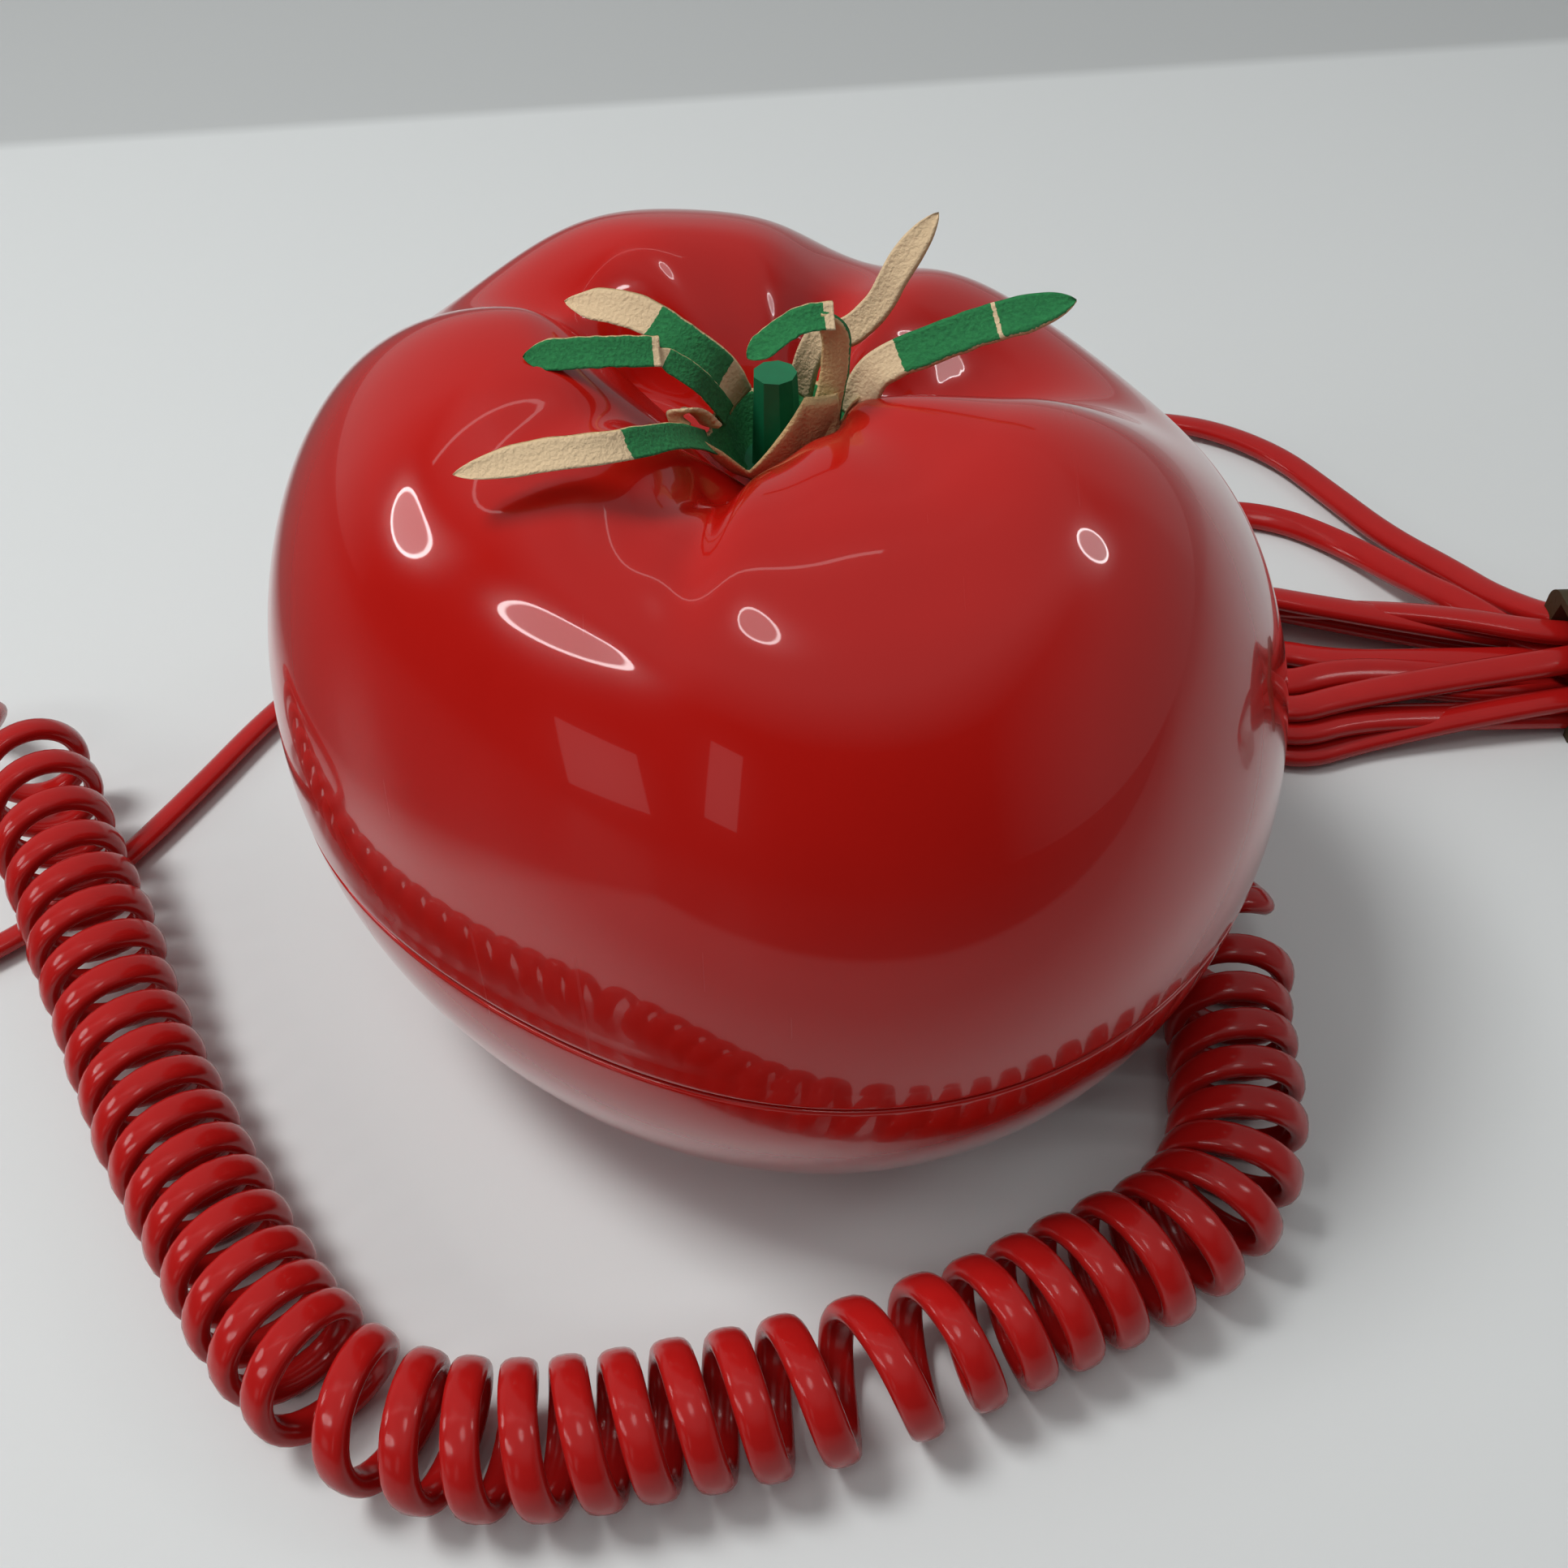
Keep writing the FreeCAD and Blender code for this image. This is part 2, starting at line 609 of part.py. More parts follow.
class Grommet:
    """Cord bush through a wall: where it points, its mouth and its own solid."""

    def __init__(self, azimuth, height, dome):
        edge = height + GROMMET_FLANGE_RADIUS if dome else height - GROMMET_FLANGE_RADIUS
        seat = wall_radius(azimuth, edge, dome, WALL) - GROMMET_SEAT_GAP
        self.way = outward(azimuth)
        self.skin = polar(azimuth, wall_radius(azimuth, height, dome), height)
        self.mouth = self.skin + self.way * GROMMET_NOSE
        self.inner = polar(azimuth, seat, height)
        self.back = self.inner - self.way * GROMMET_FLANGE_THICK

    def hole(self):
        """Hole in the wall for the bush."""
        return Part.makeCylinder(GROMMET_RADIUS + FIT_GAP, BODY_RADIUS / 2, self.back, self.way)

    def solid(self):
        """The bush: a flange inside, a barrel in the wall and a tapered, grooved nose outside."""
        length = (self.skin - self.inner).Length + FIT_GAP
        flange = Part.makeCylinder(GROMMET_FLANGE_RADIUS, GROMMET_FLANGE_THICK, self.back, self.way)
        barrel = Part.makeCylinder(GROMMET_RADIUS, length, self.inner, self.way)
        start = self.inner + self.way * length
        nose = Part.makeCone(GROMMET_RADIUS, GROMMET_NOSE_RADIUS, GROMMET_NOSE - FIT_GAP, start, self.way)
        bush = joined([flange, barrel, nose])
        grooves = []
        for index in range(GROMMET_GROOVES):
            place = start + self.way * (index + 0.5) * GROMMET_GROOVE_PITCH
            outside = Part.makeCylinder(GROMMET_FLANGE_RADIUS, GROMMET_GROOVE_WIDTH, place, self.way)
            inside = Part.makeCylinder(GROMMET_GROOVE_RADIUS, GROMMET_GROOVE_WIDTH, place, self.way)
            grooves.append(outside.cut(inside))
        return bush.cut(Part.makeCompound(grooves))


base_exit = Grommet(BASE_CORD_AZIMUTH, CORD_EXIT_HEIGHT, False)
line_exit = Grommet(LINE_CORD_AZIMUTH, CORD_EXIT_HEIGHT, False)
handset_exit = Grommet(HANDSET_CORD_AZIMUTH, SEAM_HEIGHT + HANDSET_CORD_RISE, True)


def handset_shell(skin, hollow):
    """Dome of the fruit, with screw bosses that hang from its roof."""
    above = slab(SEAM_HEIGHT + SEAM_GAP / 2, TOP)
    shell = skin.common(above).cut(hollow)
    bosses = [cylinder(BOSS_RADIUS, face_top + FIT_GAP / 2, TOP, p.x, p.y) for p in handset_boss_places]
    bosses = [boss.common(skin) for boss in bosses]
    shell = joined([shell] + bosses)
    holes = [pilot(p, face_top, face_top + SCREW_LENGTH) for p in handset_boss_places]
    holes.append(cylinder(STEM_SHANK_RADIUS + FIT_GAP, stem_seat - 3 * WALL, TOP))
    holes.append(handset_exit.hole())
    return shell.cut(Part.makeCompound(holes))


def handset_faceplate(fitting):
    """Flat underside of the handset with the ear ring, the sound holes and the capsule wall."""
    plate = fitting.common(slab(face_bottom, face_top))
    wall_in = EARPIECE_RADIUS + FIT_GAP
    wall = ring(wall_in + EAR_WALL, wall_in, face_top, face_top + EAR_WALL_HEIGHT, 0, EARPIECE_Y)
    ear_in = EARPIECE_RADIUS - EAR_RING_WIDTH
    ear_ring = ring(EARPIECE_RADIUS, ear_in, face_bottom - EAR_RING_RISE, face_bottom, 0, EARPIECE_Y)
    plate = joined([plate, wall, ear_ring])
    holes = []
    for radius, count in zip(EAR_HOLE_CIRCLES, EAR_HOLE_COUNTS):
        for index in range(count):
            angle = 2 * math.pi * index / count
            x = radius * math.sin(angle)
            y = EARPIECE_Y + radius * math.cos(angle)
            holes.append(cylinder(EAR_HOLE_RADIUS, face_bottom, face_top, x, y))
    for step in (-1, 0, 1):
        holes.append(cylinder(MIC_HOLE_RADIUS, face_bottom, face_top, step * MIC_HOLE_PITCH, MIC_Y))
    for place in handset_boss_places:
        holes.append(pilot(place, face_bottom, face_top))
        holes.append(head_hole(place, face_bottom, face_bottom + SCREW_HEAD_HEIGHT / 2))
    return plate.cut(Part.makeCompound(holes))


def handset_screws():
    """Four screws that hold the faceplate to the dome."""
    seat = face_bottom + SCREW_HEAD_HEIGHT / 2
    return Part.makeCompound([screw(p, seat, False) for p in handset_boss_places])


def earpiece():
    """Receiver capsule: a disc with a stepped back."""
    low = face_top + EAR_GASKET_THICK
    front = cylinder(EARPIECE_RADIUS, low, low + EARPIECE_HEIGHT / 2, 0, EARPIECE_Y)
    back = cylinder(EARPIECE_RADIUS * EARPIECE_BACK_SHARE, low, low + EARPIECE_HEIGHT, 0, EARPIECE_Y)
    return joined([front, back])


def microphone():
    """Small capsule above the sound holes at the cord's end of the face."""
    low = face_top + FIT_GAP
    return cylinder(MIC_RADIUS, low, low + MIC_HEIGHT, 0, MIC_Y)


def stem():
    """Tapered, faceted stem with a collar on the fruit and a shank through it."""
    foot = stem_seat + CALYX_THICK + FIT_GAP
    rings = []
    for radius, height in ((STEM_RADIUS, foot), (STEM_TOP_RADIUS, stem_seat + STEM_RISE)):
        corners = []
        for side in range(STEM_SIDES + 1):
            angle = 2 * math.pi * side / STEM_SIDES
            corners.append(V(radius * math.cos(angle), radius * math.sin(angle), height))
        rings.append(Part.makePolygon(corners))
    post = Part.makeLoft(rings, True, True)
    collar = cylinder(STEM_COLLAR_RADIUS, foot, foot + STEM_COLLAR_THICK)
    shank = cylinder(STEM_SHANK_RADIUS, roof_inside - STEM_NUT_THICK - STEM_END, foot)
    return joined([post, collar, shank])


def stem_nut():
    """Push-on nut that holds the stem from inside the dome."""
    low = roof_inside - STEM_NUT_THICK
    return ring(STEM_NUT_RADIUS, STEM_SHANK_RADIUS + FIT_GAP / 2, low, roof_inside)


def calyx_strip(azimuth, line):
    """One bent strip of the calyx: its side line given thickness, trimmed to a blunt leaf."""
    first = CALYX_CUP_RADIUS - CALYX_THICK
    points = [V(first, 0, stem_seat + FIT_GAP + CALYX_ROOT_HEIGHT)]
    points += [V(r, 0, crown_point(azimuth, r).z + above) for r, above in line]
    curve = Part.BSplineCurve()
    curve.interpolate(points)
    lower = curve.toShape()
    upper = lower.translated(V(0, 0, CALYX_STRIP_THICK))
    ends = [Part.makeLine(lower.Vertexes[i].Point, upper.Vertexes[i].Point) for i in (0, 1)]
    side = Part.Face(Part.Wire(Part.__sortEdges__([lower, upper] + ends)))
    half = CALYX_STRIP_WIDTH / 2
    band = side.translated(V(0, -half, 0)).extrude(V(0, 2 * half, 0))
    last = line[-1][0]
    shoulder = last - min((last - first) / 3, 2 * half)
    outline = Part.makePolygon(
        [
            V(first, -half, 0),
            V(shoulder, -half, 0),
            V(last, -half * CALYX_TIP_SHARE, 0),
            V(last, half * CALYX_TIP_SHARE, 0),
            V(shoulder, half, 0),
            V(first, half, 0),
            V(first, -half, 0),
        ]
    )
    plan = Part.Face(outline).extrude(V(0, 0, 4 * CROWN_HEIGHT))
    strip = band.common(plan)
    strip.rotate(V(0, 0, 0), UP, azimuth - 90.0)
    return strip


def calyx():
    """Flocked paper calyx: a cup round the stem and six bent strips."""
    low = stem_seat + FIT_GAP
    foot = STEM_SEAT_RADIUS - CALYX_FOOT_GAP
    hole = STEM_SHANK_RADIUS + FIT_GAP
    top = CALYX_CUP_RADIUS
    profile = [
        V(hole, 0, low),
        V(foot, 0, low),
        V(top, 0, low + CALYX_CUP_HEIGHT),
        V(top - CALYX_THICK, 0, low + CALYX_CUP_HEIGHT),
        V(foot - CALYX_THICK, 0, low + CALYX_THICK),
        V(hole, 0, low + CALYX_THICK),
        V(hole, 0, low),
    ]
    cup = Part.Face(Part.makePolygon(profile)).revolve(V(0, 0, 0), UP, 360)
    return joined([cup] + [calyx_strip(azimuth, line) for azimuth, line in CALYX_STRIPS])


def base_shell(skin, hollow):
    """Bowl of the fruit, with bosses for the deck, board standoffs, foot recesses and slots."""
    below = slab(0, SEAM_HEIGHT - SEAM_GAP / 2)
    shell = skin.common(below).cut(hollow)
    bosses = [cylinder(BOSS_RADIUS, FOOT_STAND, deck_bottom, p.x, p.y) for p in deck_boss_places]
    bosses = [boss.common(skin) for boss in bosses]
    posts = [cylinder(STANDOFF_RADIUS, FOOT_STAND, main_board_low, p.x, p.y) for p in standoff_places]
    shell = joined([shell] + bosses + posts)
    holes = [pilot(p, deck_bottom - SCREW_LENGTH, deck_bottom) for p in deck_boss_places]
    holes += [pilot(p, main_board_low - BOARD_SCREW_LENGTH, main_board_low) for p in standoff_places]
    recess_top = FOOT_STAND + FOOT_RECESS
    holes += [cylinder(FOOT_RADIUS + FIT_GAP, FOOT_STAND, recess_top, p.x, p.y) for p in foot_places]
    for index in range(SOUND_SLOT_COUNT):
        y = SOUND_SLOT_Y + (index - (SOUND_SLOT_COUNT - 1) / 2) * SOUND_SLOT_PITCH
        holes.append(block(SOUND_SLOT_LENGTH, SOUND_SLOT_WIDTH, 0, floor_inside + WALL, 0, y))
    slot_length = RINGER_SWITCH_TRAVEL + RINGER_KNOB_LENGTH + 2 * RINGER_SLOT_GAP
    slot_width = RINGER_KNOB_WIDTH + 2 * RINGER_SLOT_GAP
    holes.append(block(slot_length, slot_width, 0, floor_inside + WALL, 0, ringer_switch_y))
    holes.append(base_exit.hole())
    holes.append(line_exit.hole())
    return shell.cut(Part.makeCompound(holes))


def base_deck(fitting, lip_outside, lip_inside):
    """Deck with the key openings, the hook opening, the posts for the keypad and the lip for the handset."""
    plate = fitting.common(slab(deck_bottom, deck_top))
    lip_slab = slab(deck_top, face_bottom - REST_GAP)
    lip = lip_outside.common(lip_slab).cut(lip_inside)
    posts = [cylinder(KEYPAD_POST_RADIUS, membrane_low, deck_bottom, p.x, p.y) for p in keypad_posts]
    deck = joined([plate, lip] + posts)
    holes = []
    for place in key_places:
        width = KEY_WIDTH + 2 * SLIDE_GAP
        depth = KEY_DEPTH + 2 * SLIDE_GAP
        holes.append(block(width, depth, deck_bottom, deck_top, place.x, place.y))
    holes.append(cylinder(HOOK_RADIUS + SLIDE_GAP, deck_bottom, deck_top, hook_x, HOOK_Y))
    for place in deck_boss_places:
        holes.append(pilot(place, deck_bottom, deck_top))
        holes.append(head_hole(place, deck_top - SCREW_HEAD_HEIGHT / 2, deck_top))
    for place in keypad_posts:
        holes.append(pilot(place, membrane_low, deck_bottom))
    return deck.cut(Part.makeCompound(holes))


def deck_screws():
    """Four screws that hold the deck to the bowl."""
    seat = deck_top - SCREW_HEAD_HEIGHT / 2
    return Part.makeCompound([screw(p, seat, True) for p in deck_boss_places])


def key(place):
    """Key cap with a dished top, a flange under the deck and a foot."""
    cap = block(KEY_WIDTH, KEY_DEPTH, key_flange_high, deck_top + KEY_RISE, place.x, place.y)
    uprights = [e for e in cap.Edges if e.BoundBox.ZLength > KEY_RISE]
    cap = cap.makeFillet(KEY_EDGE, uprights)
    dish_middle = V(place.x, place.y - KEY_DEPTH, deck_top + KEY_RISE + KEY_DISH_RADIUS - KEY_EDGE)
    dish = Part.makeCylinder(KEY_DISH_RADIUS, 2 * KEY_DEPTH, dish_middle, V(0, 1, 0))
    cap = cap.cut(dish)
    width = KEY_WIDTH + 2 * KEY_FLANGE
    depth = KEY_DEPTH + 2 * KEY_FLANGE
    flange = block(width, depth, key_flange_low, key_flange_high, place.x, place.y)
    foot = cylinder(KEY_FOOT_RADIUS, key_foot_low, key_flange_low, place.x, place.y)
    return joined([cap, flange, foot])


def keypad_membrane():
    """Rubber sheet with a raised pad under each key."""
    sheet = block(membrane_width, membrane_depth, membrane_low, membrane_high, 0, KEYPAD_Y)
    pads = [cylinder(MEMBRANE_PAD_RADIUS, membrane_high, pad_top, p.x, p.y) for p in key_places]
    return joined([sheet] + pads)


def keypad_board():
    """Contact board under the membrane, screwed to the posts of the deck."""
    depth = membrane_depth + BOARD_MARGIN
    board = block(2 * keypad_board_half, depth, keypad_board_low, membrane_low, 0, KEYPAD_Y)
    board = board.common(cylinder(keypad_board_reach, keypad_board_low, membrane_low))
    gap = BOSS_RADIUS + REST_GAP
    holes = [cylinder(gap, keypad_board_low, membrane_low, p.x, p.y) for p in deck_boss_places]
    holes += [pilot(p, keypad_board_low, membrane_low) for p in keypad_posts]
    return board.cut(Part.makeCompound(holes))


def keypad_screws():
    """Four screws that hold the contact board to the deck."""
    length = deck_bottom - keypad_board_low - REST_GAP
    return Part.makeCompound([screw(p, keypad_board_low, False, length) for p in keypad_posts])


def main_board():
    """Circuit board on the standoffs, cut to the round of the bowl."""
    depth = MAIN_BOARD_FRONT + MAIN_BOARD_BACK
    y = (MAIN_BOARD_BACK - MAIN_BOARD_FRONT) / 2
    board = block(2 * main_board_radius, depth, main_board_low, main_board_high, 0, y)
    board = board.common(cylinder(main_board_radius, main_board_low, main_board_high))
    gap = BOSS_RADIUS + REST_GAP
    holes = [cylinder(gap, main_board_low, main_board_high, p.x, p.y) for p in deck_boss_places]
    holes += [pilot(p, main_board_low, main_board_high) for p in standoff_places]
    return board.cut(Part.makeCompound(holes))


def board_screws():
    """Four screws that hold the main board to its standoffs."""
    screws = [screw(p, main_board_high, True, BOARD_SCREW_LENGTH) for p in standoff_places]
    return Part.makeCompound(screws)


def hook_plunger():
    """Plunger that the handset holds down, with a collar and an arm for the switch."""
    shaft = cylinder(HOOK_RADIUS, hook_collar_low, hook_top, hook_x, HOOK_Y)
    rim = [e for e in shaft.Edges if e.BoundBox.ZMin > hook_top - REST_GAP and e.Closed]
    shaft = shaft.makeFillet(HOOK_RADIUS / 4, rim)
    collar = cylinder(HOOK_COLLAR_RADIUS, hook_collar_low, hook_collar_high, hook_x, HOOK_Y)
    arm_y = HOOK_Y + HOOK_ARM_REACH / 2
    arm = block(HOOK_ARM_WIDTH, HOOK_ARM_REACH, hook_collar_low, hook_collar_high, hook_x, arm_y)
    pin_low = hook_collar_low - HOOK_TRAVEL
    pin = cylinder(HOOK_PIN_RADIUS, pin_low, hook_collar_low, hook_x, HOOK_Y)
    return joined([shaft, collar, arm, pin])


def hook_switch():
    """Switch on the board with its button under the plunger's arm."""
    top = hook_collar_low - REST_GAP
    high = top - HOOK_BUTTON_RISE
    body = block(HOOK_SWITCH_WIDTH, HOOK_SWITCH_DEPTH, main_board_high, high, hook_x, hook_switch_y)
    button = cylinder(HOOK_BUTTON_RADIUS, high, top, hook_x, hook_switch_y)
    return joined([body, button])


def hook_spring():
    """Return spring between the board and the plunger's collar."""
    low = main_board_high + SPRING_WIRE_RADIUS + FIT_GAP
    high = hook_collar_low - SPRING_WIRE_RADIUS - FIT_GAP
    helix = Part.makeHelix((high - low) / SPRING_TURNS, high - low, SPRING_RADIUS)
    start = V(SPRING_RADIUS, 0, 0)
    section = Part.Wire(Part.makeCircle(SPRING_WIRE_RADIUS, start, V(0, 1, 0)))
    coil = Part.Wire(helix.Edges).makePipeShell([section], True, True)
    coil.translate(V(hook_x, HOOK_Y, low))
    return coil


def ringer():
    """Round sounder on the board with a port in its top."""
    high = main_board_high + RINGER_HEIGHT
    can = cylinder(RINGER_RADIUS, main_board_high, high, RINGER_X, RINGER_Y)
    return can.cut(cylinder(RINGER_PORT_RADIUS, high - RINGER_HEIGHT / 2, high, RINGER_X, RINGER_Y))


def base_weight():
    """Steel plate on the floor that keeps the light base from sliding."""
    plate = block(WEIGHT_LENGTH, WEIGHT_WIDTH, floor_inside, floor_inside + WEIGHT_THICK)
    uprights = [e for e in plate.Edges if e.BoundBox.ZLength > WEIGHT_THICK / 2]
    return plate.makeFillet(WEIGHT_THICK / 2, uprights)


def base_feet():
    """Four rubber feet in the recesses of the bowl."""
    feet = []
    for place in foot_places:
        foot = cylinder(FOOT_RADIUS, 0, FOOT_STAND + FOOT_RECESS, place.x, place.y)
        rim = [e for e in foot.Edges if e.BoundBox.ZMax < FOOT_STAND / 2 and e.Closed]
        feet.append(foot.makeChamfer(FOOT_STAND / 3, rim))
    return Part.makeCompound(feet)


def ringer_switch():
    """Slide switch body inside the floor, over the knob."""
    width, depth, height = RINGER_BODY_SIZE
    low = ringer_switch_low
    return block(width, depth, low, low + height, 0, ringer_switch_y)


def ringer_knob():
    """Knob of the ringer switch, in its slot under the base, with a plate that runs on the floor."""
    x = -RINGER_SWITCH_TRAVEL / 2
    low = FOOT_STAND - RINGER_KNOB_STAND
    plate_low = floor_inside + RINGER_SLOT_GAP
    knob = block(RINGER_KNOB_LENGTH, RINGER_KNOB_WIDTH, low, plate_low, x, ringer_switch_y)
    plate = block(
        RINGER_KNOB_LENGTH + 2 * RINGER_SLOT_GAP + RINGER_SWITCH_TRAVEL / 2,
        RINGER_KNOB_WIDTH + 4 * RINGER_SLOT_GAP,
        plate_low,
        plate_low + RINGER_PLATE_THICK,
        x,
        ringer_switch_y,
    )
    return joined([knob, plate])


def cord_path(points):
    """Straight runs joined by tangent arcs, each arc as large as its two runs allow."""
    points = [V(*p) for p in points]
    edges = []
    last = points[0]
    radii = []
    for before, corner, after in zip(points, points[1:], points[2:]):
        into = corner - before
        out = after - corner
        turn = into.getAngle(out)
        trim = ARC_SHARE * min(into.Length, out.Length)
        radii.append(trim / math.tan(turn / 2))
        into.normalize()
        out.normalize()
        start = corner - into * trim
        end = corner + out * trim
        sagitta = radii[-1] * (1 / math.cos(turn / 2) - 1)
        middle_way = out - into
        middle_way.normalize()
        edges.append(Part.LineSegment(last, start).toShape())
        edges.append(Part.Arc(start, corner + middle_way * sagitta, end).toShape())
        last = end
    edges.append(Part.LineSegment(last, points[-1]).toShape())
    return Part.Wire(edges), radii


def cord_tube(name, points, radius):
    """Round tube along a cord's route."""
    path, radii = cord_path(points)
    way = V(*points[1]) - V(*points[0])
    section = Part.Wire(Part.makeCircle(radius, V(*points[0]), way))
    tube = path.makePipeShell([section], True, True)
    expected = math.pi * radius**2 * path.Length
    print(name, "length", round(path.Length, 1), "smallest radius", round(min(radii), 1))
    print(name, "volume to section times length", round(tube.Volume / expected, 4))
    return tube


def out_of(grommet):
    """First two points of a cord: the grommet's mouth and the end of its straight run."""
    return [tuple(grommet.mouth), tuple(grommet.mouth + grommet.way * CORD_FIRST_RUN)]


def lead_tube(points):
    """One insulated lead inside the phone."""
    path, _ = cord_path(points)
    section = Part.Wire(Part.makeCircle(LEAD_RADIUS, V(*points[0]), V(*points[1]) - V(*points[0])))
    return path.makePipeShell([section], True, True)


def handset_leads():
    """Leads from the terminal block to the earpiece and the microphone."""
    start = face_top + TERMINAL_SIZE[2]
    ear_back = face_top + EAR_GASKET_THICK + EARPIECE_HEIGHT
    mic_back = face_top + FIT_GAP + MIC_HEIGHT
    ear_arch = ear_back + LEAD_ARCH
    mic_arch = mic_back + LEAD_ARCH
    ear = [
        (terminal_x + EAR_LEAD_OFFSET, TERMINAL_Y, start),
        (terminal_x + EAR_LEAD_OFFSET, TERMINAL_Y, ear_arch),
        (0, EARPIECE_Y, ear_arch),
        (0, EARPIECE_Y, ear_back),
    ]
    mic = [
        (terminal_x + MIC_LEAD_OFFSET, TERMINAL_Y, start),
        (terminal_x + MIC_LEAD_OFFSET, TERMINAL_Y, mic_arch),
        (0, MIC_Y, mic_arch),
        (0, MIC_Y, mic_back),
    ]
    return Part.makeCompound([lead_tube(ear), lead_tube(mic)])


def board_lead(grommet, x):
    """Lead from the back of a grommet to the underside of the main board."""
    end = grommet.back - grommet.way * LEAD_STRAIGHT
    under = (x, BOARD_LEAD_Y, end.z)
    return lead_tube([tuple(grommet.back), tuple(end), under, (x, BOARD_LEAD_Y, main_board_low)])


def base_leads():
    """Leads from both cords of the base to the main board."""
    return Part.makeCompound([board_lead(base_exit, BASE_LEAD_X), board_lead(line_exit, LINE_LEAD_X)])


def hank():
    """Outer shape of the tied hank of line cord."""
    sections = []
    for x, y, half, height in HANK_SECTIONS:
        low = V(x, y - half, TABLE_GAP)
        outline = [
            low,
            low + V(0, 2 * half, 0),
            low + V(0, 2 * half - HANK_CORNER, height),
            low + V(0, HANK_CORNER, height),
            low,
        ]
        sections.append(Part.makePolygon(outline))
    return Part.makeLoft(sections, True, True)


def hank_tie(body):
    """Band round the waist of the hank."""
    x, y, half, height = HANK_WAIST
    depth = 2 * (half + 2 * TIE_THICK)
    outside = block(TIE_WIDTH, depth, TABLE_GAP, TABLE_GAP + height + TIE_THICK, x, y)
    tops = [e for e in outside.Edges if e.BoundBox.XLength > TIE_THICK and e.BoundBox.ZMin > height]
    return outside.makeFillet(HANK_CORNER, tops).cut(body)


def line_plug():
    """Modular plug: a body with contact slots, a narrower boot for the cord and a sprung latch."""
    length, width, height = PLUG_SIZE
    front = PLUG_X - length / 2
    high = TABLE_GAP + height
    body = block(PLUG_BODY_LENGTH, width, TABLE_GAP, high, front + PLUG_BODY_LENGTH / 2, PLUG_Y)
    boot_low = TABLE_GAP + (height - PLUG_BOOT_HEIGHT) / 2
    boot = block(length, PLUG_BOOT_WIDTH, boot_low, boot_low + PLUG_BOOT_HEIGHT, PLUG_X, PLUG_Y)
    hinge = front + PLUG_TAB_SETBACK
    side = PLUG_Y - PLUG_TAB_WIDTH / 2
    lever = Part.makePolygon(
        [
            V(hinge, side, high - PLUG_TAB_THICK / 2),
            V(hinge + PLUG_TAB_LENGTH, side, high + PLUG_TAB_LIFT),
            V(hinge + PLUG_TAB_LENGTH, side, high + PLUG_TAB_LIFT + PLUG_TAB_THICK),
            V(hinge, side, high + PLUG_TAB_THICK / 2),
            V(hinge, side, high - PLUG_TAB_THICK / 2),
        ]
    )
    latch = Part.Face(lever).extrude(V(0, PLUG_TAB_WIDTH, 0))
    slots = []
    for index in range(PLUG_CONTACT_COUNT):
        y = PLUG_Y + (index - (PLUG_CONTACT_COUNT - 1) / 2) * PLUG_CONTACT_PITCH
        x = front + PLUG_CONTACT_LENGTH / 2
        slot_high = TABLE_GAP + PLUG_CONTACT_DEPTH
        slots.append(block(PLUG_CONTACT_LENGTH, PLUG_CONTACT_WIDTH, TABLE_GAP, slot_high, x, y))
    return joined([body, boot, latch]).cut(Part.makeCompound(slots))


